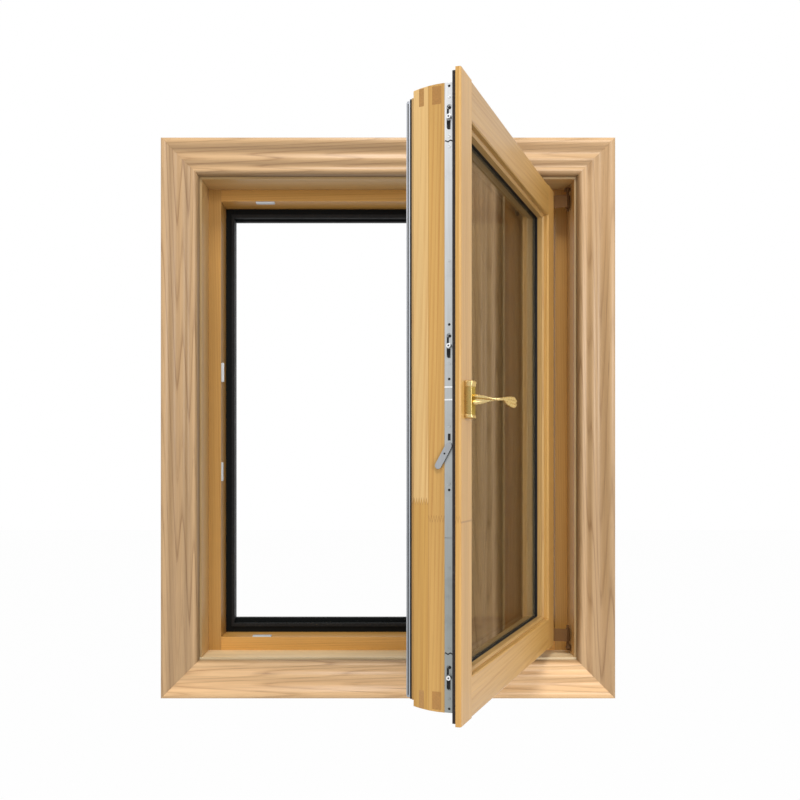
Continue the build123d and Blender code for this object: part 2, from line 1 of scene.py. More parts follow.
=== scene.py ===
"""Looks of a tilt and turn window: casing, frame, opened sash, glazing, edge lock and handle."""
from __future__ import annotations

import json
import logging
from collections.abc import Callable
from dataclasses import dataclass, field, replace
from enum import Enum
from math import pi, radians

import bpy
from mathutils import Matrix, Vector

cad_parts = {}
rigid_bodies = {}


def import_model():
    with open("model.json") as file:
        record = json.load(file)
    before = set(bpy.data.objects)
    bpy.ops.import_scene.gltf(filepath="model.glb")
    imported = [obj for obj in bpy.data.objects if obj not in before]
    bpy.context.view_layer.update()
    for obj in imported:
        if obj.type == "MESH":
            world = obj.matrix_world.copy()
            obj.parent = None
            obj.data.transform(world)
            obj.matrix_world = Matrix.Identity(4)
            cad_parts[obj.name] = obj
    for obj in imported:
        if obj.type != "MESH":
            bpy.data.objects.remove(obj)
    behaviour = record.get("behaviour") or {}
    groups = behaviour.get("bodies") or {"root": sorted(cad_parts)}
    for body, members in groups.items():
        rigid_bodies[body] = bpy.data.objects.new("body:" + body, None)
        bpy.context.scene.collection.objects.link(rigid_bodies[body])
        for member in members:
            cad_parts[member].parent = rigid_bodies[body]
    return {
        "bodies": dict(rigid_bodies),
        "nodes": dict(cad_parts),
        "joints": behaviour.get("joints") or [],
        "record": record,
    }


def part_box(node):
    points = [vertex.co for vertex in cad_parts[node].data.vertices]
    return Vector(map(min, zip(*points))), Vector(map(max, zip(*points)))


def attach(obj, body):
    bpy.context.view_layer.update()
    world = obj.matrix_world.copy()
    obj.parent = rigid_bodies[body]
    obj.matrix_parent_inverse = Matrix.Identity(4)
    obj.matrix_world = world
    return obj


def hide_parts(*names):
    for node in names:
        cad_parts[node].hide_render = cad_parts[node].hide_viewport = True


LOG = logging.getLogger("window")
MM = 0.001

Pair = tuple[float, float]
Triple = tuple[float, float, float]
Colour = Triple
Stops = tuple[Pair, ...]
Piece = bpy.types.Object
Material = bpy.types.Material
Socket = bpy.types.NodeSocket


class Body(str, Enum):
    """The moving bodies of the window."""

    FRAME = "frame"
    SASH = "sash"
    HANDLE = "handle"
    ROD = "lock_rod"
    LIFT = "lift_lever"
    PIVOTS = "hinge_pivots"


class Slot(str, Enum):
    """The material slots of the record."""

    CASING = "casing_wood"
    LINER = "liner_wood"
    FRAME = "frame_wood"
    SASH = "sash_wood"
    BEAD = "bead_wood"
    STEEL = "zinc_steel"
    BRONZE = "bronze_steel"
    BRASS = "satin_brass"
    SILVER = "silver_aluminium"
    DARK = "dark_aluminium"
    BLACK_SEAL = "black_seal"
    BROWN_SEAL = "brown_seal"
    GLASS = "glass"
    SPACER = "spacer"


class Run(Enum):
    """Which way a board's grain runs: upright, level across the frame, or the same two in the open sash."""

    UPRIGHT = "upright"
    LEVEL = "level"
    ALONG_SASH = "along sash"
    UPRIGHT_SASH = "upright in sash"


@dataclass(frozen=True)
class OpenSash:
    """How the sash stands open: its turning axis in plan and its angle.

    Closed places, in millimetres, are easier to think in; they are turned to where the sash stands.
    """

    axis_x: float = 433.5
    axis_y: float = 47.0
    angle: float = 70.5

    def matrix(self) -> Matrix:
        """Return the turn from the closed place to the open one, in metres."""
        axis = Vector((self.axis_x * MM, self.axis_y * MM, 0.0))
        return Matrix.Translation(axis) @ Matrix.Rotation(radians(self.angle), 4, "Z") @ Matrix.Translation(-axis)

    def direction(self, closed: Triple) -> Vector:
        """Return a closed-sash direction as it points with the sash open."""
        return Matrix.Rotation(radians(self.angle), 3, "Z") @ Vector(closed)


OPEN = OpenSash()


def toned(colour: Colour, level: float) -> Colour:
    """Return a colour made lighter or darker."""
    return tuple(level * part for part in colour)


class Graph:
    """A small writer of node materials, one method for each kind of node that the finishes use."""

    def __init__(self, name: str) -> None:
        """Start an empty material of that name."""
        self.material = bpy.data.materials.new(name)
        self.material.use_nodes = True
        self.tree = self.material.node_tree
        self.tree.nodes.clear()

    def node(self, kind: str, inputs: dict | None = None, **settings: object) -> bpy.types.Node:
        """Add one node.

        Args:
            kind: Blender's name of the node type.
            inputs: values or sockets for its inputs, by input name or index.
            settings: attributes of the node.

        Returns:
            The node.
        """
        node = self.tree.nodes.new(kind)
        for key, value in settings.items():
            setattr(node, key, value)
        for key, value in (inputs or {}).items():
            if isinstance(value, Socket):
                self.tree.links.new(value, node.inputs[key])
            else:
                node.inputs[key].default_value = value
        return node

    def math(self, operation: str, *values: object, clamp: bool = False) -> Socket:
        """Return the result of one Math node on numbers or sockets."""
        inputs = dict(enumerate(values))
        return self.node("ShaderNodeMath", inputs, operation=operation, use_clamp=clamp).outputs[0]

    def vector(self, operation: str, *values: object) -> Socket:
        """Return the vector result of one Vector Math node."""
        return self.node("ShaderNodeVectorMath", dict(enumerate(values)), operation=operation).outputs["Vector"]

    def scaled(self, vector: object, amount: object) -> Socket:
        """Return a vector times a number."""
        inputs = {0: vector, "Scale": amount}
        return self.node("ShaderNodeVectorMath", inputs, operation="SCALE").outputs["Vector"]

    def dot(self, first: object, second: object) -> Socket:
        """Return the dot product of two vectors."""
        inputs = {0: first, 1: second}
        return self.node("ShaderNodeVectorMath", inputs, operation="DOT_PRODUCT").outputs["Value"]

    def parts(self, vector: object) -> bpy.types.NodeOutputs:
        """Return a vector's X, Y and Z."""
        return self.node("ShaderNodeSeparateXYZ", {"Vector": vector}).outputs

    def noise(self, where: object, scale: float, detail: float = 2.0, output: str = "Fac") -> Socket:
        """Return a noise pattern read at a place."""
        inputs = {"Vector": where, "Scale": scale, "Detail": detail}
        return self.node("ShaderNodeTexNoise", inputs).outputs[output]

    def stretched(self, where: object, scales: Triple, detail: float, output: str = "Fac") -> Socket:
        """Return a noise pattern with a scale of its own along each axis."""
        return self.noise(self.vector("MULTIPLY", where, scales), 1.0, detail, output)

    def ramp(self, value: object, stops: Stops) -> Socket:
        """Bend a value by a grey ramp.

        Args:
            value: what is bent.
            stops: position and level of each stop.

        Returns:
            The level at that value.
        """
        node = self.node("ShaderNodeValToRGB", {"Fac": value})
        elements = node.color_ramp.elements
        while len(elements) < len(stops):
            elements.new(0.5)
        for element, (position, level) in zip(elements, stops):
            element.position = position
            element.color = (level, level, level, 1.0)
        return node.outputs["Color"]

    def step(self, value: object, low: float, high: float) -> Socket:
        """Return a level that rises from nought to one between two values."""
        return self.ramp(value, ((0.0, 0.0), (low, 0.0), (high, 1.0), (1.0, 1.0)))

    def mix(self, share: object, first: object, second: object, blend: str = "MIX") -> Socket:
        """Mix two colours.

        Args:
            share: share of the second colour.
            first: colour or socket.
            second: colour or socket.
            blend: Blender's name of the way they mix.

        Returns:
            The mixed colour.
        """
        node = self.node("ShaderNodeMix", data_type="RGBA", blend_type=blend)
        for index, value in ((0, share), (6, first), (7, second)):
            if isinstance(value, Socket):
                self.tree.links.new(value, node.inputs[index])
            else:
                node.inputs[index].default_value = (*value, 1.0) if isinstance(value, tuple) else value
        return node.outputs[2]

    def shaded(self, colour: object, level: object) -> Socket:
        """Return a colour times a grey level."""
        grey = self.node("ShaderNodeCombineColor", dict.fromkeys(range(3), level)).outputs[0]
        return self.mix(1.0, colour, grey, "MULTIPLY")

    def object_place(self) -> Socket:
        """Return the place on the piece, in metres."""
        return self.node("ShaderNodeTexCoord").outputs["Object"]

    def bump(self, height: object, distance: float, strength: float = 1.0) -> Socket:
        """Return the normal of a surface raised by a height pattern."""
        inputs = {"Height": height, "Distance": distance, "Strength": strength}
        return self.node("ShaderNodeBump", inputs).outputs["Normal"]

    def finish(self, inputs: dict) -> Material:
        """End with a principled shader that takes the inputs given, and return the material."""
        shader = self.node("ShaderNodeBsdfPrincipled", inputs)
        self.node("ShaderNodeOutputMaterial", {"Surface": shader.outputs["BSDF"]})
        return self.material


@dataclass(frozen=True)
class Layers:
    """How a sash board is glued up: two lamellae through its depth, each finger-jointed once along it.

    Lengths are in closed-sash millimetres, joints for the room side and the outer side. The tints are for
    the room side below and above its joint, then for the outer side below and above its joint.
    """

    tints: tuple[Colour, Colour, Colour, Colour]
    joints: Pair = (-9000.0, -9000.0)
    glue_line: float = 140.0
    tooth_pitch: float = 4.5
    tooth_length: float = 11.0
    glue_width: float = 0.6


CASING_WIDTH = 0.089
SOFT_RINGS = ((0.0, 0.30), (0.12, 0.0), (0.45, 0.12), (0.80, 0.70), (0.92, 1.0), (1.0, 0.30))
FINE_RINGS = ((0.0, 0.45), (0.12, 0.0), (0.62, 0.05), (0.84, 0.50), (0.92, 1.0), (1.0, 0.45))
PORE_LEVELS = ((0.0, 1.0), (0.30, 1.0), (0.40, 0.0), (1.0, 0.0))
SWING_SCALE = (1.1, 6.0, 6.0)
RIPPLE_SCALE = (1.6, 60.0, 60.0)
FIBRE_SCALE = (7.0, 560.0, 560.0)
STREAK_SCALE = (1.1, 175.0, 175.0)
CLOUD_SCALE = (1.2, 26.0, 26.0)
PORE_SCALE = (14.0, 850.0, 850.0)
SPECK_SCALE = 420.0
LAMELLA_STEP = (4.3, 0.83, 0.59)
LAMELLA_YEARS = 7.37
TO_ROOM = (0.0, -1.0, 0.0)


@dataclass(frozen=True)
class WoodFinish:
    """Clear-coated timber: two tones, growth rings round a pith line, streaks, fibres and pores.

    Lengths are in metres. The pith is given across and behind the board's middle, and leans along it. The
    rings are the levels of late wood through a year, and the front level darkens faces to the room as painted shade.
    """

    name: str
    early: Colour
    late: Colour
    ring: float
    contrast: float
    wander: float
    pith: Pair
    lean: Pair
    streaks: float
    pores: float
    roughness: float
    rings: Stops = SOFT_RINGS
    painted_front_shade: float = 1.0

    def material(self, board: str, run: Run, centre: Vector, seed: int, painted_light: float = 1.0,
                 layers: Layers | None = None, painted_shade: Stops = ()) -> Material:
        """Write the finish for one board.

        Args:
            board: name of the board.
            run: which way its grain runs.
            centre: middle of the board.
            seed: picks where in the tree the board was cut.
            painted_light: brightness of the board against its neighbours, painted light and shade for how it faces
                the lamps.
            layers: how the board is glued up, if it shows.
            painted_shade: painted light and shade bands across a casing board, as shares of its width.

        Returns:
            The material.
        """
        graph = Graph(f"{self.name}.{board}")
        along, across, depth = grain_axes(run)
        turn = Matrix((along, across, depth))
        place = graph.node("ShaderNodeMapping", {
            "Vector": graph.object_place(), "Rotation": turn.to_euler("XYZ"), "Location": -(turn @ centre),
        }).outputs["Vector"]
        seat = graph.vector("ADD", place, (seed * 3.17, seed * 0.37, seed * 0.71))
        piece = 0.0
        if layers is not None:
            glue_depth = (OPEN.matrix() @ Vector((0, layers.glue_line * MM, 0)) - centre).dot(depth)
            piece, tint, glue = self.lamellae(graph, place, layers, glue_depth, centre.dot(along))
            seat = graph.vector("ADD", seat, graph.scaled(LAMELLA_STEP, piece))
        years = graph.math("MULTIPLY_ADD", piece, LAMELLA_YEARS, self.years(graph, place, seat, seed))
        late = graph.ramp(graph.math("FRACT", years), self.rings)
        fibre = graph.stretched(seat, FIBRE_SCALE, 3.0)
        colour = graph.mix(self.late_share(graph, seat, years, late, fibre), self.early, self.late)
        colour = graph.shaded(colour, self.light(graph, place, seat, painted_light, painted_shade))
        if layers is not None:
            colour = graph.mix(1.0, colour, tint, "MULTIPLY")
        pore = graph.ramp(graph.stretched(seat, PORE_SCALE, 1.0), PORE_LEVELS)
        pore = graph.math("MULTIPLY", pore, graph.math("MULTIPLY_ADD", late, 0.6, 0.4))
        colour = graph.mix(graph.math("MULTIPLY", pore, self.pores), colour, toned(self.late, 0.4))
        if layers is not None:
            colour = graph.mix(graph.math("MULTIPLY", glue, 0.55), colour, toned(self.late, 0.6))
        height = graph.math("ADD", graph.math("MULTIPLY", late, 0.5), graph.math("MULTIPLY_ADD", pore, -0.8, fibre))
        return graph.finish({
            "Base Color": self.faces(graph, seat, along, colour),
            "Roughness": graph.math("MULTIPLY_ADD", fibre, 0.20, self.roughness - 0.10),
            "Normal": graph.bump(height, 0.0003, 0.3),
            "Coat Weight": 0.18, "Coat Roughness": 0.26, "Specular IOR Level": 0.4,
        })

    def years(self, graph: Graph, place: object, seat: object, seed: int) -> Socket:
        """Count the growth rings from the pith outwards.

        Args:
            graph: the material being written.
            place: place on the board, along, across and through it.
            seat: that place as moved to where the board was cut.
            seed: picks where the board was cut.

        Returns:
            The number of rings at each place.
        """
        swing = graph.vector("SUBTRACT", graph.stretched(seat, SWING_SCALE, 1.5, "Color"), (0.5, 0.5, 0.5))
        swing = graph.vector("MULTIPLY", swing, (0.0, 1.0, 1.0))
        parts = graph.parts(graph.vector("ADD", place, graph.scaled(swing, self.wander)))
        side, behind = (
            graph.math("MULTIPLY_ADD", parts["X"], self.lean[i], graph.math("SUBTRACT", parts[axis], self.pith[i]))
            for i, axis in ((0, "Y"), (1, "Z"))
        )
        squared = graph.math("MULTIPLY_ADD", side, side, graph.math("MULTIPLY", behind, behind))
        years = graph.math("DIVIDE", graph.math("SQRT", squared), self.ring)
        ripple = graph.stretched(seat, RIPPLE_SCALE, 2.0)
        return graph.math("MULTIPLY_ADD", ripple, 0.35, graph.math("ADD", years, seed * 5.3))

    def late_share(self, graph: Graph, seat: object, years: object, late: object, fibre: object) -> Socket:
        """Add up rings, fibres and streaks.

        Args:
            graph: the material being written.
            seat: place in the tree.
            years: number of rings.
            late: late wood through each year.
            fibre: pattern of the fibres.

        Returns:
            The share of the darker tone.
        """
        year = graph.node("ShaderNodeTexWhiteNoise", {"W": graph.math("FLOOR", years)}, noise_dimensions="1D")
        strength = graph.math("MULTIPLY_ADD", year.outputs["Value"], 0.8, 0.35)
        share = graph.math("MULTIPLY", graph.math("MULTIPLY", late, strength), self.contrast, clamp=True)
        share = graph.math("ADD", share, graph.math("MULTIPLY_ADD", fibre, 0.40, -0.20))
        streak = graph.step(graph.stretched(seat, STREAK_SCALE, 3.0), 0.32, 0.68)
        streak = graph.math("MULTIPLY_ADD", streak, self.streaks, -0.4 * self.streaks)
        return graph.math("ADD", share, streak, clamp=True)

    @staticmethod
    def light(graph: Graph, place: object, seat: object, painted_light: float, painted_shade: Stops) -> Socket:
        """Weigh a board's brightness: random clouds, times the painted light of the board and the painted shade bands
        of a casing board.

        Args:
            graph: the material being written.
            place: place on the board.
            seat: place in the tree.
            painted_light: brightness of the whole board, painted light and shade.
            painted_shade: painted light and shade bands across a casing board.

        Returns:
            The brightness at each place.
        """
        cloud = graph.stretched(seat, CLOUD_SCALE, 2.0)
        light = graph.math("MULTIPLY", graph.math("MULTIPLY_ADD", cloud, 0.40, 0.80), painted_light)
        if painted_shade:
            # Painted shade bands across a casing board.
            width_share = graph.math("MULTIPLY_ADD", graph.parts(place)["Y"], 1.0 / CASING_WIDTH, 0.5)
            light = graph.math("MULTIPLY", light, graph.ramp(width_share, painted_shade))
        return light

    def faces(self, graph: Graph, seat: object, along: Vector, colour: object) -> Socket:
        """Tell a board's faces apart.

        Args:
            graph: the material being written.
            seat: place in the tree.
            along: direction of the grain.
            colour: colour of the long faces.

        Returns:
            The colour, with end grain on cut ends and with faces to the room darkened as painted shade.
        """
        normal = graph.node("ShaderNodeTexCoord").outputs["Normal"]
        end = graph.step(graph.math("ABSOLUTE", graph.dot(normal, tuple(along))), 0.75, 0.92)
        speck = graph.noise(graph.scaled(seat, SPECK_SCALE), 1.0, 2.0)
        end_tone = graph.mix(speck, toned(self.late, 1.05), toned(self.late, 0.55))
        colour = graph.mix(graph.math("MULTIPLY", end, 0.8), colour, end_tone)
        # Painted shade: faces to the room are darker, for the shadow in the gap between liner and casing.
        if self.painted_front_shade < 1.0:
            levels = ((0.0, 1.0), (0.7, 1.0), (0.9, self.painted_front_shade), (1.0, self.painted_front_shade))
            colour = graph.mix(1.0, colour, graph.ramp(graph.dot(normal, TO_ROOM), levels), "MULTIPLY")
        return colour

    @staticmethod
    def lamellae(graph: Graph, place: object, layers: Layers, glue_depth: float,
                 middle: float) -> tuple[Socket, Socket, Socket]:
        """Split a board into its glued pieces.

        Args:
            graph: the material being written.
            place: place on the board, along, across and through it.
            layers: how the board is glued up.
            glue_depth: depth of the glue line from the board's middle, in metres.
            middle: place of the board's middle along its grain, in metres.

        Returns:
            The piece's number, its tint, and where glue lines show.
        """
        parts = graph.parts(place)
        offset = graph.math("SUBTRACT", parts["Z"], glue_depth)
        outer = graph.math("GREATER_THAN", offset, 0.0)
        half = layers.tooth_pitch / 2
        zigzag = graph.math("PINGPONG", graph.math("ADD", offset, 1.0), half * MM)
        inner_joint, outer_joint = (height * MM - middle for height in layers.joints)
        joint = graph.math("MULTIPLY_ADD", outer, outer_joint - inner_joint, inner_joint)
        rise = graph.math("MULTIPLY_ADD", zigzag, layers.tooth_length / half,
                          graph.math("SUBTRACT", parts["X"], joint))
        above = graph.math("GREATER_THAN", rise, 0.0)
        piece = graph.math("MULTIPLY_ADD", above, 2.0, outer)
        tint = graph.mix(outer, graph.mix(above, layers.tints[0], layers.tints[1]),
                         graph.mix(above, layers.tints[2], layers.tints[3]))
        seam = graph.math("LESS_THAN", graph.math("ABSOLUTE", offset), layers.glue_width * MM)
        bite = graph.math("LESS_THAN", graph.math("ABSOLUTE", rise), 2.5 * layers.glue_width * MM)
        return piece, tint, graph.math("MAXIMUM", graph.math("MULTIPLY", seam, 0.6), bite)


def grain_axes(run: Run) -> tuple[Vector, Vector, Vector]:
    """Find a board's own directions.

    Args:
        run: which way the grain runs.

    Returns:
        The directions along the grain, across the face, and through the thickness.
    """
    x, y, z = Vector((1, 0, 0)), Vector((0, 1, 0)), Vector((0, 0, 1))
    sash_x, sash_y = OPEN.direction((1, 0, 0)), OPEN.direction((0, 1, 0))
    return {
        Run.UPRIGHT: (z, x, y),
        Run.LEVEL: (x, -z, y),
        Run.ALONG_SASH: (sash_x, -z, sash_y),
        Run.UPRIGHT_SASH: (z, sash_x, sash_y),
    }[run]


@dataclass(frozen=True)
class MetalFinish:
    """Metal or painted metal: base colour, roughness, drawn or cast streaks and handling marks.

    A fade gives two heights in metres and the tint at the lower one, for long bars that grow darker downwards.
    """

    name: str
    colour: Colour
    metallic: float
    roughness: float
    streak: Triple
    marks: float = 0.15
    worn: Colour = (0.5, 0.5, 0.5)
    fade: tuple[float, float, Colour] | None = None
    sheen: float = 0.5
    edge: Colour = (1.0, 1.0, 1.0)
    mark_scale: float = 38.0

    def material(self) -> Material:
        """Write the finish and return its material."""
        graph = Graph(self.name)
        place = graph.object_place()
        streak = graph.stretched(place, self.streak, 3.0)
        mark = graph.step(graph.noise(place, self.mark_scale, 4.0), 0.52, 0.70)
        colour = graph.mix(graph.math("MULTIPLY", mark, self.marks), self.colour, self.worn)
        if self.fade is not None:
            low, high, tint = self.fade
            inputs = {"Value": graph.parts(place)["Z"], "From Min": low, "From Max": high}
            share = graph.node("ShaderNodeMapRange", inputs).outputs["Result"]
            colour = graph.mix(1.0, colour, graph.mix(share, tint, (1.0, 1.0, 1.0)), "MULTIPLY")
        colour = graph.shaded(colour, graph.math("MULTIPLY_ADD", streak, 0.24, 0.88))
        rough = graph.math("MULTIPLY_ADD", streak, 0.22, self.roughness - 0.11)
        rough = graph.math("MULTIPLY_ADD", mark, 0.10, rough)
        return graph.finish({
            "Base Color": colour, "Metallic": self.metallic, "Roughness": rough, "Specular IOR Level": self.sheen,
            "Specular Tint": (*self.edge, 1.0), "Normal": graph.bump(streak, 0.00008, 0.30),
        })


@dataclass(frozen=True)
class RubberFinish:
    """Extruded rubber: nearly black, dull, with faint dust and bloom."""

    name: str
    colour: Colour
    dust: Colour
    roughness: float = 0.62
    dust_scale: float = 160.0
    bloom_scale: float = 9.0

    def material(self) -> Material:
        """Write the finish and return its material."""
        graph = Graph(self.name)
        place = graph.object_place()
        dust = graph.noise(place, self.dust_scale, 5.0)
        bloom = graph.noise(place, self.bloom_scale, 3.0)
        share = graph.math("MULTIPLY", graph.ramp(dust, ((0.0, 0.0), (0.50, 0.0), (0.75, 1.0))), bloom)
        return graph.finish({
            "Base Color": graph.mix(share, self.colour, self.dust),
            "Roughness": graph.math("MULTIPLY_ADD", dust, 0.2, self.roughness - 0.1),
            "Normal": graph.bump(dust, 0.0002, 0.3), "Specular IOR Level": 0.25,
        })


@dataclass(frozen=True)
class GlassFinish:
    """Float glass with a warm olive body tint, and slight smears on its surface."""

    name: str
    tint: Colour = (0.60, 0.54, 0.41)
    smear_scale: float = 7.0

    def material(self) -> Material:
        """Write the finish and return its material."""
        graph = Graph(self.name)
        smear = graph.noise(graph.object_place(), self.smear_scale, 5.0)
        rough = graph.math("MULTIPLY", graph.ramp(smear, ((0.0, 0.0), (0.55, 0.0), (0.9, 0.05))), 0.4)
        return graph.finish({
            "Base Color": graph.mix(smear, self.tint, toned(self.tint, 0.94)), "Roughness": rough,
            "Transmission Weight": 1.0, "IOR": 1.38,
        })


class Bench:
    """The modelling bench: one method for each thing done by hand to a mesh."""

    doubles = 0.00001
    flat_angle = 0.5

    def __init__(self, frame: dict) -> None:
        """Keep the loaded frame at hand."""
        self.frame = frame

    @staticmethod
    def only(piece: Piece) -> None:
        """Select one piece alone and make it active."""
        bpy.ops.object.select_all(action="DESELECT")
        piece.select_set(True)
        bpy.context.view_layer.objects.active = piece

    def edit(self, piece: Piece, mode: str = "VERT", action: str = "SELECT") -> None:
        """Open a piece for editing.

        Args:
            piece: the mesh object.
            mode: what is selected in it: VERT, EDGE or FACE.
            action: SELECT for all of it or DESELECT for none.
        """
        self.only(piece)
        bpy.ops.object.mode_set(mode="EDIT")
        bpy.ops.mesh.select_mode(type=mode)
        bpy.ops.mesh.select_all(action=action)

    @staticmethod
    def close() -> None:
        """Leave edit mode."""
        bpy.ops.object.mode_set(mode="OBJECT")

    def pick(self, piece: Piece, test: Callable[[Vector], bool]) -> None:
        """Open a piece for editing with some of its points selected.

        Args:
            piece: the mesh object.
            test: takes a point's place and says whether it is selected.
        """
        self.edit(piece, action="DESELECT")
        self.close()
        for vertex in piece.data.vertices:
            vertex.select = test(vertex.co)
        bpy.ops.object.mode_set(mode="EDIT")

    def apply(self, piece: Piece, kind: str, **settings: object) -> None:
        """Add a modifier and apply it.

        Args:
            piece: the mesh object.
            kind: Blender's name of the modifier type.
            settings: attributes of the modifier.
        """
        self.only(piece)
        modifier = piece.modifiers.new(kind.title(), kind)
        for key, value in settings.items():
            setattr(modifier, key, value)
        bpy.ops.object.modifier_apply(modifier=modifier.name)

    def bevel(self, piece: Piece, width: float, segments: int = 2, angle: float = 35.0) -> None:
        """Round a piece's edges.

        Args:
            piece: the mesh object.
            width: width of the rounding, in millimetres.
            segments: how many faces go round an edge.
            angle: edges flatter than this stay, in degrees.
        """
        self.apply(piece, "BEVEL", width=width * MM, segments=segments, limit_method="ANGLE",
                   angle_limit=radians(angle), use_clamp_overlap=True)

    def ease(self, piece: Piece, width: float, segments: int = 2) -> None:
        """Round a piece's sharp edges and shade it smooth between them."""
        self.bevel(piece, width, segments)
        self.even(piece)

    def smooth(self, piece: Piece, angle: float = 35.0) -> None:
        """Shade a piece smooth across edges flatter than an angle."""
        self.only(piece)
        bpy.ops.object.shade_smooth_by_angle(angle=radians(angle))

    def even(self, piece: Piece) -> None:
        """Shade a piece smooth with its large faces kept flat."""
        self.smooth(piece)
        self.apply(piece, "WEIGHTED_NORMAL", mode="FACE_AREA", weight=80, keep_sharp=True)

    def settle(self, piece: Piece, matrix: Matrix | None = None) -> None:
        """Put a piece's place into its mesh.

        Args:
            piece: the mesh object.
            matrix: a turn that is made first.
        """
        if matrix is not None:
            bpy.context.view_layer.update()
            piece.matrix_world = matrix @ piece.matrix_world
        self.only(piece)
        bpy.ops.object.transform_apply(location=True, rotation=True, scale=True)

    def outwards(self, piece: Piece) -> None:
        """Merge doubled points and turn all faces outwards."""
        self.edit(piece)
        bpy.ops.mesh.remove_doubles(threshold=self.doubles)
        bpy.ops.mesh.normals_make_consistent(inside=False)
        self.close()

    def copy_of(self, node: str) -> Piece:
        """Copy a node's shape.

        Args:
            node: name of the node.

        Returns:
            The copy, with doubled points merged and its flat faces joined.
        """
        piece = bpy.data.objects.new(f"{node}.dressed", self.frame["nodes"][node].data.copy())
        bpy.context.scene.collection.objects.link(piece)
        self.only(piece)
        bpy.ops.mesh.customdata_custom_splitnormals_clear()
        self.edit(piece)
        bpy.ops.mesh.remove_doubles(threshold=self.doubles)
        bpy.ops.mesh.dissolve_limited(angle_limit=radians(self.flat_angle))
        self.close()
        return piece

    def block(self, name: str, low: Triple, high: Triple) -> Piece:
        """Add a block.

        Args:
            name: name of the piece.
            low: one corner, in millimetres.
            high: the opposite corner.

        Returns:
            The block.
        """
        middle = [(a + b) / 2 * MM for a, b in zip(low, high)]
        bpy.ops.object.select_all(action="DESELECT")
        bpy.ops.mesh.primitive_cube_add(size=1.0, location=middle)
        piece = bpy.context.active_object
        piece.name = name
        piece.scale = [abs(b - a) * MM for a, b in zip(low, high)]
        self.settle(piece)
        return piece

    def disc(self, name: str, centre: Triple, radius: float, depth: float, sides: int = 20) -> Piece:
        """Add a round bar that lies along X.

        Args:
            name: name of the piece.
            centre: its middle, in millimetres.
            radius: its radius.
            depth: its length.
            sides: how many sides it has.

        Returns:
            The bar.
        """
        bpy.ops.object.select_all(action="DESELECT")
        bpy.ops.mesh.primitive_cylinder_add(vertices=sides, radius=radius * MM, depth=depth * MM,
                                            location=[c * MM for c in centre], rotation=(0, pi / 2, 0))
        piece = bpy.context.active_object
        piece.name = name
        self.settle(piece)
        return piece

    def outline(self, name: str, points: int, radius: float, **place: object) -> Piece:
        """Add a filled ring, which is then shaped and extruded.

        Args:
            name: name of the piece.
            points: how many points it has.
            radius: its radius in metres.
            place: its location and rotation.

        Returns:
            The ring.
        """
        bpy.ops.object.select_all(action="DESELECT")
        bpy.ops.mesh.primitive_circle_add(vertices=points, radius=radius, fill_type="NGON", **place)
        piece = bpy.context.active_object
        piece.name = name
        return piece

    def cut(self, piece: Piece, cutter: Piece) -> None:
        """Take a cutter's shape out of a piece and put the cutter away."""
        self.apply(piece, "BOOLEAN", operation="DIFFERENCE", object=cutter, solver="EXACT")
        bpy.data.objects.remove(cutter)

    def join(self, name: str, pieces: list[Piece]) -> Piece:
        """Join several pieces as one.

        Args:
            name: name of the joined piece.
            pieces: what is joined.

        Returns:
            The joined piece.
        """
        bpy.ops.object.select_all(action="DESELECT")
        for piece in pieces:
            piece.select_set(True)
        bpy.context.view_layer.objects.active = pieces[0]
        bpy.ops.object.join()
        pieces[0].name = name
        return pieces[0]

    def repeat(self, piece: Piece, offset: Triple) -> Piece:
        """Copy a piece to another place.

        Args:
            piece: the mesh object.
            offset: how far the copy is moved, in millimetres.

        Returns:
            The copy, with a mesh of its own.
        """
        copy = piece.copy()
        copy.data = piece.data.copy()
        bpy.context.scene.collection.objects.link(copy)
        copy.location = Vector(copy.location) + Vector(offset) * MM
        self.settle(copy)
        return copy

    @staticmethod
    def dress(piece: Piece, material: Material) -> None:
        """Give a piece one material."""
        piece.data.materials.clear()
        piece.data.materials.append(material)

    def hand_in(self, piece: Piece, body: Body, slot: Slot, material: Material, *nodes: str) -> None:
        """Dress a finished piece and ride it on its body.

        Args:
            piece: the mesh object.
            body: the body that carries it.
            slot: its material slot in the record; not used.
            material: its finish.
            nodes: the CAD nodes that it stands for.
        """
        self.dress(piece, material)
        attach(piece, body.value)
        if nodes:
            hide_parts(*nodes)
        LOG.info("%s: %d faces", piece.name, len(piece.data.polygons))


@dataclass
class Boards:
    """A set of timber boards that take an eased copy of their node and a grain of their own."""

    bench: Bench
    finish: WoodFinish
    slot: Slot
    body: Body
    runs: dict[str, Run]
    easing: float = 0.6
    painted_lights: dict[str, float] = field(default_factory=dict)
    layers: dict[str, Layers] = field(default_factory=dict)

    def build(self) -> None:
        """Ease and dress every board of the set."""
        for seed, (node, run) in enumerate(self.runs.items(), start=1):
            low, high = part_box(node)
            piece = self.bench.copy_of(node)
            self.bench.ease(piece, self.easing)
            painted_light = self.painted_lights.get(node, 1.0)
            material = self.finish.material(node, run, (low + high) / 2, seed, painted_light, self.layers.get(node))
            self.bench.hand_in(piece, self.body, self.slot, material, node)


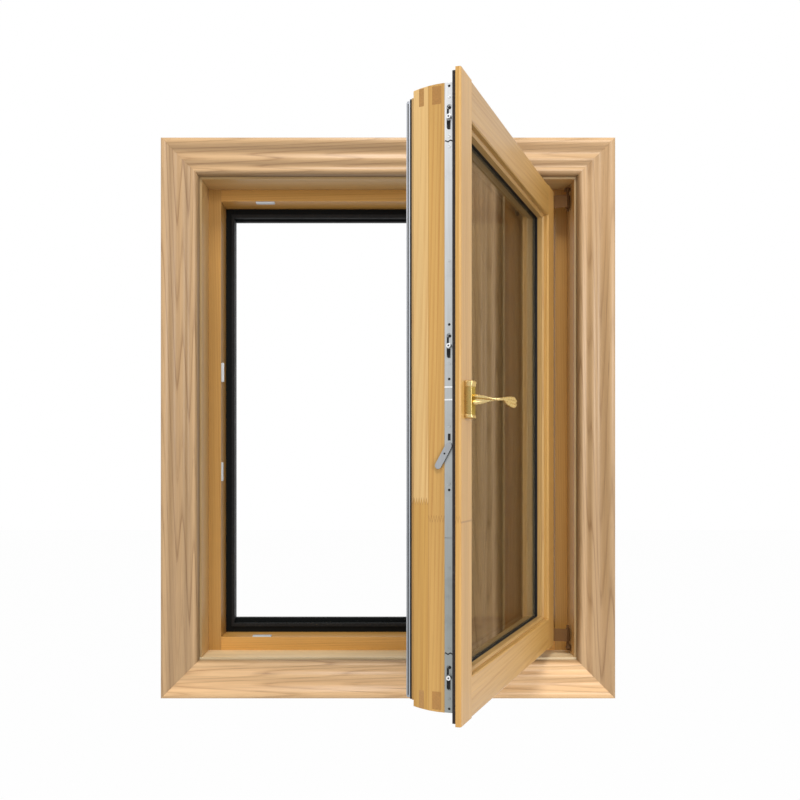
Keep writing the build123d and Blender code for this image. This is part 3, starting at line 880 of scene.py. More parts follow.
@dataclass
class Casing:
    """The four casing boards: one moulded section carried along each side and mitred at both ends.

    The section runs from the outer edge inwards: the distance from that edge and the height off the wall.
    Painted shade bands, light on the ridges and dark in the hollows, are given in the same direction, as shares of
    the width.
    """

    bench: Bench
    finish: WoodFinish
    painted_lights: dict[str, float]
    painted_shades: dict[str, Stops]
    half_width: float = 534.0
    low: float = -37.0
    high: float = 1281.0
    easing: float = 0.4
    easing_angle: float = 40.0
    section: Stops = (
        (0.0, 0.0), (0.0, 14.5), (0.5, 16.8), (1.8, 18.8), (4.2, 20.4), (7.5, 21.5), (11.0, 22.0), (14.5, 21.5),
        (18.5, 20.0), (22.5, 17.9), (26.5, 15.8), (30.5, 14.2), (34.0, 13.4), (37.0, 13.5), (40.0, 14.4),
        (43.0, 16.0), (46.0, 17.8), (49.0, 19.2), (52.0, 19.9), (55.0, 19.7), (58.0, 18.6), (61.0, 17.0),
        (64.0, 15.7), (67.0, 15.2), (69.5, 15.6), (72.0, 16.7), (74.5, 17.9), (77.0, 18.6), (79.5, 18.4),
        (82.0, 17.1), (84.3, 14.8), (86.2, 11.6), (87.8, 7.8), (88.8, 3.8), (89.0, 1.5), (67.0, 1.5), (67.0, 0.0),
    )

    def build(self) -> None:
        """Model and dress the boards."""
        sides = {"left": Run.UPRIGHT, "right": Run.UPRIGHT, "top": Run.LEVEL, "bottom": Run.LEVEL}
        for seed, (side, run) in enumerate(sides.items(), start=1):
            node = f"casing_{side}"
            first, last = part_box(node)
            piece = self.board(side)
            painted_shade = self.painted_shades[side]
            if side in ("right", "bottom"):
                painted_shade = tuple((1.0 - place, level) for place, level in reversed(painted_shade))
            material = self.finish.material(node, run, (first + last) / 2, seed, self.painted_lights[side], painted_shade=painted_shade)
            self.bench.hand_in(piece, Body.FRAME, Slot.CASING, material, node)

    def board(self, side: str) -> Piece:
        """Model one board.

        Args:
            side: left, right, top or bottom.

        Returns:
            The section carried along that side, with both mitres cut and its edges eased.
        """
        wide, low, high = self.half_width, self.low, self.high
        right, up, level = Vector((1, 0, 0)), Vector((0, 0, 1)), Vector((0, 1, 0))
        corner, inwards, along, length = {
            "left": ((-wide, 0, low), right, up, high - low), "right": ((wide, 0, low), -right, up, high - low),
            "top": ((-wide, 0, high), -up, right, 2 * wide), "bottom": ((-wide, 0, low), up, right, 2 * wide),
        }[side]
        piece = self.bench.outline(f"casing_{side}.moulded", len(self.section), 0.01)
        for vertex, (distance, height) in zip(piece.data.vertices, self.section):
            vertex.co = (Vector(corner) + distance * inwards - height * level) * MM
        self.bench.edit(piece, "FACE")
        bpy.ops.mesh.extrude_region_move(TRANSFORM_OT_translate={"value": tuple(along * length * MM)})
        start = Vector(corner) * MM
        for point, normal in ((start, inwards - along), (start + along * length * MM, inwards + along)):
            bpy.ops.mesh.select_all(action="SELECT")
            bpy.ops.mesh.bisect(plane_co=point, plane_no=normal, use_fill=True, clear_outer=True, threshold=0.000001)
        self.bench.close()
        self.bench.outwards(piece)
        self.bench.bevel(piece, self.easing, angle=self.easing_angle)
        self.bench.smooth(piece)
        return piece


@dataclass
class PlainNodes:
    """Nodes whose shape is right, which take an eased copy with a single finish."""

    bench: Bench
    material: Material
    slot: Slot
    body: Body
    easing: float
    nodes: tuple[str, ...]

    def build(self) -> None:
        """Ease and dress every node of the set."""
        for node in self.nodes:
            piece = self.bench.copy_of(node)
            if self.easing:
                self.bench.ease(piece, self.easing)
            self.bench.hand_in(piece, self.body, self.slot, self.material, node)


@dataclass
class Handle:
    """The capped rosette, and the ribbon that leaves it, twists, bends and widens to a paddle.

    Places are closed-sash millimetres. A section is its distance along, its height and its thickness. Twist
    powers say how late in the neck, and how early in the lever, the ribbon turns over.
    """

    bench: Bench
    brass: Material
    bright: Material
    axis: Triple = (-384.0, 78.0, 621.0)
    rosette_size: Triple = (25.0, 12.5, 63.0)
    rosette_easing: float = 1.6
    rosette_inset: float = 4.0
    cap_heights: Pair = (11.0, 7.0)
    cap_easing: float = 2.2
    cap_lip: float = 0.6
    cap_flare: float = 1.2
    reach: float = 56.8
    bend_radius: float = 11.0
    bend_steps: int = 6
    ribbon_points: int = 28
    pinch: float = 0.2
    pinched_share: float = 0.21
    neck_twist_power: float = 2.2
    lever_twist_power: int = 5
    lever_twist_share: float = 0.85
    neck_sections: tuple[Triple, ...] = (
        (8.0, 19.0, 7.6), (13.0, 18.4, 7.4), (18.0, 17.6, 7.2), (24.0, 16.6, 6.8), (30.0, 15.4, 6.4),
        (36.0, 14.2, 6.0), (41.0, 13.2, 5.7), (45.8, 12.4, 5.5),
    )
    lever_sections: tuple[Triple, ...] = (
        (16.0, 11.6, 5.4), (24.0, 11.4, 5.5), (33.0, 12.0, 5.8), (43.0, 13.2, 6.2), (54.0, 14.8, 6.7),
        (66.0, 16.6, 7.2), (78.0, 18.4, 7.6), (90.0, 19.8, 8.0), (101.0, 20.4, 8.2), (110.0, 19.6, 8.0),
        (117.0, 16.8, 7.2), (121.5, 12.4, 6.0), (123.8, 7.0, 4.0),
    )

    def build(self) -> None:
        """Model, turn and dress the rosette, its caps and the ribbon."""
        # The caps and the ribbon take the paler brass: partly polish, partly painted highlight.
        for piece, body, material, nodes in (
            (self.rosette(), Body.SASH, self.brass, ("handle_rosette",)),
            (self.bench.join("rosette_caps", self.caps()), Body.SASH, self.bright, ()),
            (self.ribbon(), Body.HANDLE, self.bright, ("handle_neck", "handle_lever")),
        ):
            self.bench.settle(piece, OPEN.matrix())
            self.bench.hand_in(piece, body, Slot.BRASS, material, *nodes)

    def rosette(self) -> Piece:
        """Return the rosette's body, a block whose ends run into the caps."""
        x, y, z = self.axis
        wide, deep, tall = self.rosette_size
        end = tall / 2 - self.rosette_inset
        piece = self.bench.block("rosette", (x - wide / 2, y - deep, z - end), (x + wide / 2, y, z + end))
        self.bench.ease(piece, self.rosette_easing, 3)
        return piece

    def caps(self) -> list[Piece]:
        """Return the upper and lower caps, whose faces lean out towards the ends."""
        x, y, z = self.axis
        wide, deep, tall = self.rosette_size
        half, face = wide / 2 + self.cap_lip, y - deep - self.cap_lip
        pieces = []
        for side, height in zip((1, -1), self.cap_heights):
            end = z + side * tall / 2
            low, high = sorted((end, end - side * height))
            cap = self.bench.block("cap", (x - half, face, low), (x + half, y, high))
            self.bench.pick(cap, lambda co: co.y < (face + 0.1) * MM and abs(co.z - end * MM) < 0.0001)
            bpy.ops.transform.translate(value=(0, -self.cap_flare * MM, 0))
            self.bench.close()
            self.bench.ease(cap, self.cap_easing, 4)
            pieces.append(cap)
        return pieces

    def ribbon(self) -> Piece:
        """Return the ribbon: a pinched section carried out of the rosette, round the bend and along."""
        x, y, z = self.axis
        start, tall, wide = self.neck_sections[0]
        middle = (x * MM, (y - start) * MM, z * MM)
        piece = self.bench.outline("handle_ribbon", self.ribbon_points, 0.5, location=middle, rotation=(pi / 2, 0, 0))
        piece.scale = (wide * MM, tall * MM, 1.0)
        self.bench.settle(piece)
        self.bench.pick(piece, lambda co: abs(co.z - z * MM) < self.pinched_share * tall * MM)
        bpy.ops.transform.resize(value=(self.pinch, 1, 1), center_override=middle)
        bpy.ops.mesh.select_mode(type="FACE")
        bpy.ops.mesh.select_all(action="SELECT")
        self.neck((start, tall, wide))
        self.bend()
        self.lever(self.neck_sections[-1])
        self.bench.close()
        self.bench.outwards(piece)
        self.bench.apply(piece, "SUBSURF", levels=2, render_levels=2)
        self.bench.smooth(piece, 60.0)
        return piece

    def neck(self, last: Triple) -> None:
        """Carry the selected section out of the rosette through a quarter twist.

        Args:
            last: the section that is selected at first.
        """
        x, y, z = self.axis
        length, turned = self.neck_sections[-1][0], 0.0
        for out, tall, wide in self.neck_sections[1:]:
            centre = Vector((x, y - out, z)) * MM
            twist = pi / 2 * (out / length) ** self.neck_twist_power
            bpy.ops.mesh.extrude_region_move(TRANSFORM_OT_translate={"value": (0, (last[0] - out) * MM, 0)})
            bpy.ops.transform.rotate(value=-turned, orient_axis="Y", center_override=centre)
            bpy.ops.transform.resize(value=(wide / last[2], 1, tall / last[1]), center_override=centre)
            bpy.ops.transform.rotate(value=twist, orient_axis="Y", center_override=centre)
            last, turned = (out, tall, wide), twist

    def bend(self) -> None:
        """Carry the selected section round the bend, from outwards to along the sash."""
        x, y, z = self.axis
        middle = Vector((x + self.bend_radius, y - self.reach + self.bend_radius, z)) * MM
        step = pi / 2 / self.bend_steps
        place = Vector((-self.bend_radius, 0, 0)) * MM
        for _ in range(self.bend_steps):
            after = Matrix.Rotation(step, 3, "Z") @ place
            bpy.ops.mesh.extrude_region_move(TRANSFORM_OT_translate={"value": tuple(after - place)})
            bpy.ops.transform.rotate(value=-step, orient_axis="Z", center_override=middle + after)
            place = after

    def lever(self, last: Triple) -> None:
        """Carry the selected section along the sash through its last quarter twist to the paddle's end.

        Args:
            last: the section that is selected at first, whose height and thickness count.
        """
        x, y, z = self.axis
        place, length, turned = self.bend_radius, self.lever_sections[-1][0], pi / 2
        for along, tall, wide in self.lever_sections:
            centre = Vector((x + along, y - self.reach, z)) * MM
            left = max(1.0 - (along - self.bend_radius) / (self.lever_twist_share * length), 0.0)
            twist = pi - pi / 2 * left ** self.lever_twist_power
            bpy.ops.mesh.extrude_region_move(TRANSFORM_OT_translate={"value": ((along - place) * MM, 0, 0)})
            bpy.ops.transform.rotate(value=turned, orient_axis="X", center_override=centre)
            bpy.ops.transform.resize(value=(1, wide / last[2], tall / last[1]), center_override=centre)
            bpy.ops.transform.rotate(value=-twist, orient_axis="X", center_override=centre)
            place, last, turned = along, (along, tall, wide), twist


@dataclass
class EdgeLock:
    """The faceplate of the leading edge with its bores, screws, bands and joints, in closed-sash millimetres.

    Bars give their height and how far they stand proud. Strokes give their place across and their lean. The
    painted shadow strips give one side and both ends from a cam's middle, and the shaded holes and eyes their radius
    and height from there.
    """

    bench: Bench
    steel: Material
    bright: Material
    dark: Material
    face_x: float = -401.0
    middle_y: float = 103.1
    half_width: float = 8.0
    plate_easing: float = 0.25
    bore_heights: tuple[float, ...] = (1144.0, 746.0, 655.0, 470.0, 105.0)
    bore_radius: float = 2.3
    bore_depths: Pair = (-1.0, 1.3)
    plug_depths: Pair = (0.7, 1.2)
    plug_play: float = 0.05
    keyhole: Triple = (552.5, 564.0, 4.8)
    screw_heights: tuple[float, ...] = (1126.0, 1060.0, 1043.0, 853.0, 681.0, 577.0, 480.0, 340.0, 206.0, 122.0)
    head_radius: float = 2.7
    head_rise: float = 0.6
    recess: float = 0.9
    recess_arm: Pair = (0.62, 0.45)
    band_heights: tuple[float, ...] = (641.6, 620.5)
    band: Pair = (2.6, 0.9)
    cover_heights: tuple[float, ...] = (646.0, 601.0)
    cover: Pair = (2.4, 0.12)
    joint_heights: tuple[float, ...] = (1052.0, 197.0)
    strokes_across: Stops = ((-4.6, 28.0), (0.0, -34.0), (4.6, 28.0))
    stroke_half: Pair = (2.9, 1.0)
    cam_heights: tuple[float, ...] = (1092.0, 710.5, 157.0)
    cam_reach: float = 5.0
    cap_radius: float = 4.0
    rod_face: float = -398.0
    shadow_strips: tuple[Triple, ...] = ((-1.4, -20.0, -4.4), (1.4, 4.4, 15.0))
    shadow_strip_side: float = 4.2
    hole_shade: Pair = (2.7, 16.5)
    eye_shade: Pair = (1.5, 0.0)

    def build(self) -> None:
        """Bore and dress the faceplate, then set all that sits on it, in it and on the rod behind it."""
        plate = self.bench.copy_of("lock_faceplate")
        self.bench.ease(plate, self.plate_easing)
        cutter = self.bench.join("bores", self.bores("bore", self.bore_radius, *self.bore_depths))
        self.bench.settle(cutter, OPEN.matrix())
        self.bench.cut(plate, cutter)
        self.bench.even(plate)
        self.bench.hand_in(plate, Body.SASH, Slot.STEEL, self.steel, "lock_faceplate")
        # Painted shade: the dark plugs stand for the shade deep in the bores; the strokes are the joints' own dark
        # lines.
        plugs = self.bores("plug", self.bore_radius - self.plug_play, *self.plug_depths)
        self.finish("bore_shades_and_strokes", plugs + self.strokes(), self.dark)
        self.finish("faceplate_screws", self.screws(), self.steel)
        self.finish("faceplate_bands", self.bars(self.band_heights, *self.band), self.bright)
        self.finish("joint_covers", self.bars(self.cover_heights, *self.cover), self.steel)
        self.finish("cam_caps", self.caps(), self.bright, Body.ROD)
        # Painted shadow: dark strips and discs on the rod for the shade in the slots, their holes and the cams' eyes.
        self.finish("slot_shades", self.shades(), self.dark, Body.ROD)

    def finish(self, name: str, pieces: list[Piece], material: Material, body: Body = Body.SASH) -> None:
        """Join small pieces, turn them to the open sash, shade them and hand them in.

        Args:
            name: name of the joined piece.
            pieces: what is joined.
            material: its finish.
            body: the body that carries it.
        """
        piece = self.bench.join(name, pieces)
        self.bench.settle(piece, OPEN.matrix())
        self.bench.smooth(piece)
        self.bench.hand_in(piece, body, Slot.STEEL, material)

    def shades(self) -> list[Piece]:
        """Return painted shadow on the rod: dark strips and discs for the shade in the slots, in their holes and in
        the cams' eyes.
        """
        eye_shade_x, hole_shade_x = self.face_x - self.cam_reach - 0.5, self.rod_face + 0.1
        dots = []
        for z in self.cam_heights:
            for side, low, high in self.shadow_strips:
                dots.append(self.bench.block("shadow_strip", (self.rod_face - 0.25, self.middle_y + side, z + low),
                                             (self.rod_face + 0.4, self.middle_y + self.shadow_strip_side, z + high)))
                self.bench.ease(dots[-1], 0.08)
            for x, (radius, height) in ((hole_shade_x, self.hole_shade), (eye_shade_x, self.eye_shade)):
                dots.append(self.bench.disc("dot", (x, self.middle_y, z + height), radius, 0.6))
                self.bench.ease(dots[-1], 0.08)
        return dots

    def caps(self) -> list[Piece]:
        """Return the bright domed caps on the cams' ends."""
        end = self.face_x - self.cam_reach
        rounds = [self.bench.disc("cap", (end, self.middle_y, z), self.cap_radius, 1.0, 24) for z in self.cam_heights]
        for cap in rounds:
            self.bench.ease(cap, 0.4, 3)
        return rounds

    def bores(self, name: str, radius: float, near: float, far: float) -> list[Piece]:
        """Make the bars that fill the bores and the keyhole.

        Args:
            name: name of the bars.
            radius: radius of the round ones.
            near: depth below the faceplate's face at which they start.
            far: depth at which they end.

        Returns:
            The bars.
        """
        middle = self.face_x + (near + far) / 2
        bars = [self.bench.disc(name, (middle, self.middle_y, z), radius, far - near) for z in self.bore_heights]
        low, high, width = self.keyhole
        half = width / 2 + radius - self.bore_radius
        slot = self.bench.block(name, (self.face_x + near, self.middle_y - half, low),
                                (self.face_x + far, self.middle_y + half, high))
        self.bench.ease(slot, 0.3)
        return bars + [slot]

    def strokes(self) -> list[Piece]:
        """Return the dark strokes of the interlocked joints between faceplates."""
        long, thick = self.stroke_half
        bars = []
        for z in self.joint_heights:
            for offset, lean in self.strokes_across:
                y = self.middle_y + offset
                bar = self.bench.block("stroke", (self.face_x - 0.15, y - long, z - thick),
                                       (self.face_x + 0.5, y + long, z + thick))
                place = Matrix.Translation(Vector((self.face_x, y, z)) * MM)
                self.bench.settle(bar, place @ Matrix.Rotation(radians(lean), 4, "X") @ place.inverted())
                self.bench.ease(bar, 0.12)
                bars.append(bar)
        return bars

    def bars(self, heights: tuple[float, ...], tall: float, rise: float) -> list[Piece]:
        """Make eased bars across the faceplate.

        Args:
            heights: middle of each bar.
            tall: height of a bar.
            rise: how far a bar stands proud.

        Returns:
            The bars.
        """
        half = self.half_width + 0.05
        bars = []
        for z in heights:
            bar = self.bench.block("band", (self.face_x - rise, self.middle_y - half, z - tall / 2),
                                   (self.face_x + 0.4, self.middle_y + half, z + tall / 2))
            self.bench.ease(bar, 0.5 * rise, 3)
            bars.append(bar)
        return bars

    def screws(self) -> list[Piece]:
        """Return the screw heads with their cross recesses: the lowest one and its copies."""
        z = self.screw_heights[-1]
        middle = (self.face_x - self.head_rise / 2 + 0.3, self.middle_y, z)
        head = self.bench.disc("screw", middle, self.head_radius, self.head_rise + 0.6)
        self.bench.ease(head, 0.3)
        arm, half = self.head_radius * self.recess_arm[0], self.recess_arm[1]
        for dy, dz in ((arm, half), (half, arm)):
            low = (self.face_x - 2.0, self.middle_y - dy, z - dz)
            high = (self.face_x - self.head_rise + self.recess, self.middle_y + dy, z + dz)
            self.bench.cut(head, self.bench.block("driver", low, high))
        return [head] + [self.bench.repeat(head, (0, 0, height - z)) for height in self.screw_heights[:-1]]


@dataclass
class LiftLever:
    """The small lever that hangs on the leading edge, with an eye through its upper half."""

    bench: Bench
    steel: Material
    dark: Material
    pivot: Triple = (-401.0, 103.1, 543.0)
    hang: float = 29.0
    easing: float = 0.6
    eye_along: float = 14.0
    eye_radius: float = 1.7
    eye_depth: float = 8.0
    floor_depths: Pair = (1.6, 3.6)
    floor_overlap: float = 0.2

    def build(self) -> None:
        """Ease the lever, bore its eye, and close the eye with a dark floor, painted shade inside the eye."""
        x, y, z = self.pivot
        down = Matrix.Rotation(radians(self.hang), 3, "X") @ Vector((0, 0, -self.eye_along))
        eye = (y + down.y, z + down.z)
        lever = self.bench.copy_of("lift_lever")
        self.bench.ease(lever, self.easing)
        cutter = self.bench.disc("eye", (x - self.eye_depth / 2, *eye), self.eye_radius, self.eye_depth)
        self.bench.settle(cutter, OPEN.matrix())
        self.bench.cut(lever, cutter)
        self.bench.even(lever)
        self.bench.hand_in(lever, Body.LIFT, Slot.STEEL, self.steel, "lift_lever")
        near, far = self.floor_depths
        middle = (x - (near + far) / 2, *eye)
        plug = self.bench.disc("eye_floor", middle, self.eye_radius + self.floor_overlap, far - near)
        self.bench.ease(plug, 0.2)
        self.bench.settle(plug, OPEN.matrix())
        self.bench.hand_in(plug, Body.LIFT, Slot.STEEL, self.dark)


@dataclass
class OuterEdge:
    """The silver cladding outside the sash, with a groove down its leading edge."""

    bench: Bench
    silver: Material
    dark: Material
    edge_x: float = -384.0
    groove_sides: Pair = (179.8, 182.0)
    groove_ends: Pair = (60.0, 1190.0)
    groove_depth: float = 2.2
    floor_inset: float = 4.0
    easing: float = 0.5

    def build(self) -> None:
        """Ease the four pieces, groove the leading one and dress them."""
        for side in ("left", "right", "top", "bottom"):
            node = f"sash_cladding_{side}"
            piece = self.bench.copy_of(node)
            self.bench.ease(piece, self.easing)
            if side == "left":
                self.groove(piece)
                self.floor(*(corner.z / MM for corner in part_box(node)))
            self.bench.hand_in(piece, Body.SASH, Slot.SILVER, self.silver, node)

    def groove(self, piece: Piece) -> None:
        """Cut the groove into the leading piece."""
        (near, far), (low, high) = self.groove_sides, self.groove_ends
        cutter = self.bench.block("groove", (self.edge_x - 6.0, near, low),
                                  (self.edge_x + self.groove_depth, far, high))
        self.bench.settle(cutter, OPEN.matrix())
        self.bench.cut(piece, cutter)
        self.bench.even(piece)

    def floor(self, low: float, high: float) -> None:
        """Lay the groove's dark floor, painted shade in the groove.

        Args:
            low: lower end of the grooved piece.
            high: its upper end.
        """
        near, far = self.groove_sides
        floor = self.bench.block("groove_floor", (self.edge_x + 0.6, near - 0.05, low + self.floor_inset),
                                 (self.edge_x + self.groove_depth + 0.2, far + 0.05, high - self.floor_inset))
        self.bench.ease(floor, 0.2)
        self.bench.settle(floor, OPEN.matrix())
        self.bench.hand_in(floor, Body.SASH, Slot.SILVER, self.dark)


@dataclass
class Studio:
    """The white room, its lamps, the floor and the camera. A lamp has a name, a place, a size and a power."""

    camera_place: Triple = (0.0, -2.445, 0.512)
    lens: float = 46.53
    sensor: float = 36.0
    shift: Pair = (0.015, 0.081)
    floor_height: float = -0.9
    floor_size: float = 40.0
    floor_colour: Colour = (0.86, 0.86, 0.86)
    ambient: float = 0.40
    floor_glow: float = 0.98
    aim: Triple = (0.0, 0.0, 0.6)
    lamps: tuple[tuple[str, Triple, float, float], ...] = (
        ("key", (0.0, -5.6, 7.8), 3.0, 430.0),
        ("fill", (3.8, -6.4, 2.0), 3.4, 250.0),
    )

    def build(self) -> None:
        """Set up camera, world, lamps and floor."""
        bpy.context.scene.view_settings.view_transform = "Standard"
        self.camera()
        self.world()
        self.floor()
        for name, place, size, power in self.lamps:
            self.lamp(name, place, size, power)

    def camera(self) -> None:
        """Stand the level camera where the photograph was taken from."""
        data = bpy.data.cameras.new("camera")
        data.sensor_width, data.lens = self.sensor, self.lens
        data.shift_x, data.shift_y = self.shift
        camera = bpy.data.objects.new("camera", data)
        camera.location = self.camera_place
        camera.rotation_euler = (pi / 2, 0, 0)
        bpy.context.scene.collection.objects.link(camera)
        bpy.context.scene.camera = camera

    @staticmethod
    def seen(tree: bpy.types.NodeTree) -> Socket:
        """Tell rays that show the background itself, camera, glossy and transmitted ones, from the rest.

        Args:
            tree: the node tree that is being written.

        Returns:
            One for such rays and nought for others.
        """
        path = tree.nodes.new("ShaderNodeLightPath")
        total = path.outputs["Is Camera Ray"]
        for name in ("Is Glossy Ray", "Is Transmission Ray"):
            add = tree.nodes.new("ShaderNodeMath")
            add.operation, add.use_clamp = "ADD", True
            tree.links.new(total, add.inputs[0])
            tree.links.new(path.outputs[name], add.inputs[1])
            total = add.outputs[0]
        return total

    def world(self) -> None:
        """Make the room white where it is seen, and a plain soft light elsewhere."""
        world = bpy.data.worlds.new("white room")
        world.use_nodes = True
        bpy.context.scene.world = world
        tree = world.node_tree
        strength = tree.nodes.new("ShaderNodeMapRange")
        tree.links.new(self.seen(tree), strength.inputs["Value"])
        strength.inputs["To Min"].default_value = self.ambient
        strength.inputs["To Max"].default_value = 1.0
        background = tree.nodes["Background"]
        background.inputs["Color"].default_value = (1, 1, 1, 1)
        tree.links.new(strength.outputs["Result"], background.inputs["Strength"])

    def floor(self) -> None:
        """Lay a pale floor that is nearly white where it is seen and still takes a shadow."""
        bpy.ops.object.select_all(action="DESELECT")
        bpy.ops.mesh.primitive_plane_add(size=self.floor_size, location=(0, 0, self.floor_height))
        floor = bpy.context.active_object
        floor.name = "floor"
        graph = Graph("pale floor")
        pale = graph.node("ShaderNodeBsdfDiffuse", {"Color": (*self.floor_colour, 1)}).outputs["BSDF"]
        glow = graph.node("ShaderNodeEmission", {"Color": (1, 1, 1, 1), "Strength": 1.0}).outputs["Emission"]
        share = graph.math("MULTIPLY", self.seen(graph.tree), self.floor_glow)
        mixed = graph.node("ShaderNodeMixShader", {0: share, 1: pale, 2: glow}).outputs["Shader"]
        graph.node("ShaderNodeOutputMaterial", {"Surface": mixed})
        Bench.dress(floor, graph.material)

    def lamp(self, name: str, place: Triple, size: float, power: float) -> None:
        """Hang one soft square lamp that faces the window.

        Args:
            name: name of the lamp.
            place: where it hangs.
            size: length of its sides.
            power: its power in watts.
        """
        data = bpy.data.lights.new(name, "AREA")
        data.size, data.energy = size, power
        lamp = bpy.data.objects.new(name, data)
        lamp.location = place
        lamp.rotation_euler = (Vector(self.aim) - Vector(place)).to_track_quat("-Z", "Y").to_euler()
        bpy.context.scene.collection.objects.link(lamp)


ASH = WoodFinish(
    "ash", (0.62, 0.395, 0.20), (0.32, 0.17, 0.068), ring=0.0060, contrast=0.68, wander=0.010, pith=(0.02, 0.07),
    lean=(0.02, 0.025), streaks=0.30, pores=0.40, roughness=0.40, rings=FINE_RINGS)
# The liner's front level is painted shade on its faces to the room.
LINER_ASH = WoodFinish(
    "liner ash", (0.60, 0.38, 0.15), (0.42, 0.225, 0.07), ring=0.0060, contrast=0.40, wander=0.012,
    pith=(0.05, 0.09), lean=(0.02, 0.02), streaks=0.35, pores=0.30, roughness=0.45, painted_front_shade=0.62)
# Painted light: the sill, which faces up to the lamp, takes a paler copy of the liner ash.
PAINTED_LIT_SILL_ASH = replace(LINER_ASH, name="sill ash", early=(0.63, 0.50, 0.30), late=(0.45, 0.31, 0.15), painted_front_shade=0.72)
FRAME_PINE = WoodFinish(
    "frame pine", (0.64, 0.34, 0.082), (0.46, 0.205, 0.037), ring=0.0040, contrast=0.45, wander=0.008,
    pith=(0.10, 0.06), lean=(0.010, 0.008), streaks=0.30, pores=0.18, roughness=0.42)
SASH_PINE = WoodFinish(
    "sash pine", (0.66, 0.41, 0.145), (0.46, 0.215, 0.052), ring=0.0044, contrast=0.50, wander=0.010,
    pith=(0.05, 0.05), lean=(0.010, 0.014), streaks=0.30, pores=0.14, roughness=0.40)
BEAD_PINE = WoodFinish(
    "bead pine", (0.50, 0.30, 0.10), (0.33, 0.155, 0.038), ring=0.0034, contrast=0.50, wander=0.010,
    pith=(0.05, 0.04), lean=(0.01, 0.01), streaks=0.32, pores=0.18, roughness=0.40)
# Painted light and shade: each casing board is lighter or darker for how it faces the lamps, and the bottom one,
# facing up, is lightest.
CASING_PAINTED_LIGHTS = {"left": 0.94, "right": 0.90, "top": 1.06, "bottom": 1.33}
# Painted shade: light and dark bands across each casing board, for the light on its ridges, the shade in its hollows
# and the shadow at its inner edge.
CASING_PAINTED_SHADES: dict[str, Stops] = {
    "left": ((0.0, 1.0), (0.10, 1.0), (0.27, 0.70), (0.52, 1.0), (0.69, 0.72), (0.88, 1.0), (0.95, 0.75),
             (1.0, 0.38)),
    "right": ((0.0, 0.84), (0.08, 0.88), (0.25, 1.0), (0.45, 0.80), (0.66, 1.0), (0.82, 0.96), (0.93, 0.85),
              (1.0, 0.45)),
    "top": ((0.0, 1.0), (0.10, 1.0), (0.30, 0.74), (0.52, 1.0), (0.70, 0.80), (0.86, 1.0), (0.94, 0.75),
            (1.0, 0.40)),
    "bottom": ((0.0, 0.92), (0.10, 0.95), (0.20, 1.0), (0.36, 0.92), (0.60, 0.97), (0.80, 1.0), (0.93, 0.95),
               (1.0, 0.55)),
}
ROOM_SIDE, OUTER_LOW, OUTER_HIGH = (0.87, 0.80, 0.64), (0.84, 0.76, 0.53), (1.10, 1.15, 1.30)
STILE_LAYERS = Layers((ROOM_SIDE, ROOM_SIDE, OUTER_LOW, OUTER_HIGH), (427.0, 456.0))
BOARD_LAYERS = Layers((ROOM_SIDE, ROOM_SIDE, OUTER_HIGH, OUTER_HIGH))

DRAWN, CAST = (300.0, 300.0, 18.0), (160.0, 160.0, 160.0)
ZINC = MetalFinish("bright zinc", (0.40, 0.415, 0.43), 1.0, 0.38, DRAWN, 0.25, (0.30, 0.31, 0.33))
# Painted light: a paler copy of the zinc for the strikers, for the light on their faces.
LIT_STRIKER_ZINC = MetalFinish("striker zinc", (0.60, 0.62, 0.63), 1.0, 0.40, DRAWN, 0.25, (0.42, 0.43, 0.45))
# Painted reflection: the faceplate's fade keeps its top bright, where the lamp above shows in it, and darkens it
# downwards.
PLATE_ZINC = MetalFinish("faceplate zinc", (0.74, 0.75, 0.76), 1.0, 0.42, (300.0, 300.0, 14.0), 0.25,
                         (0.46, 0.47, 0.49), fade=(0.30, 1.15, (0.46, 0.48, 0.46)))
BRIGHT_STEEL = MetalFinish("bright steel", (0.90, 0.91, 0.92), 1.0, 0.30, DRAWN, 0.15, (0.60, 0.61, 0.62))
BRONZE = MetalFinish("bronze paint", (0.15, 0.075, 0.026), 0.0, 0.55, (300.0, 300.0, 60.0), 0.20,
                     (0.20, 0.105, 0.04), sheen=0.15)
BRASS = MetalFinish("satin brass", (0.44, 0.32, 0.115), 1.0, 0.28, CAST, 0.08, (0.35, 0.25, 0.08),
                    edge=(0.85, 0.70, 0.36))
# Partly painted highlight: a paler copy of the satin brass, partly for polish and partly for the light that the caps
# and the ribbon catch.
LIT_BRASS = MetalFinish("bright brass", (0.66, 0.50, 0.23), 1.0, 0.27, CAST, 0.08, (0.52, 0.38, 0.15),
                           edge=(0.95, 0.82, 0.55))
SILVER = MetalFinish("satin silver", (0.70, 0.72, 0.76), 0.85, 0.42, (240.0, 240.0, 6.0), 0.10,
                     (0.50, 0.52, 0.55), fade=(0.20, 1.10, (0.62, 0.64, 0.65)))
DARK = MetalFinish("dark coat", (0.004, 0.005, 0.005), 0.0, 0.50, (500.0, 500.0, 500.0), 0.20,
                   (0.011, 0.012, 0.011), sheen=0.12)
# Painted shade: the dark coat of the plugs in the bores, the strips and discs in the slots, the lever's eye floor and
# the groove floor.
BORE_SHADE = MetalFinish("bore shade", (0.006, 0.006, 0.006), 0.0, 0.60, (400.0, 400.0, 400.0), 0.2,
                   (0.015, 0.014, 0.013))
SPACER = MetalFinish("pale spacer", (0.72, 0.72, 0.70), 0.6, 0.45, (300.0, 300.0, 300.0), 0.10)
BLACK_RUBBER = RubberFinish("black rubber", (0.008, 0.008, 0.008), (0.03, 0.03, 0.03))
BROWN_RUBBER = RubberFinish("brown rubber", (0.030, 0.022, 0.020), (0.07, 0.06, 0.055))
GLASS = GlassFinish("olive float glass")


def board_runs(prefix: str, ends: str, upright: Run, level: Run) -> dict[str, Run]:
    """Name a set of boards, two upright ones first.

    Args:
        prefix: what their names start with.
        ends: what their names end with, in one string.
        upright: run of the first two.
        level: run of the others.

    Returns:
        The run of each board.
    """
    runs = (upright, upright, level, level)
    return {f"{prefix}_{end}": run for end, run in zip(ends.split(), runs)}


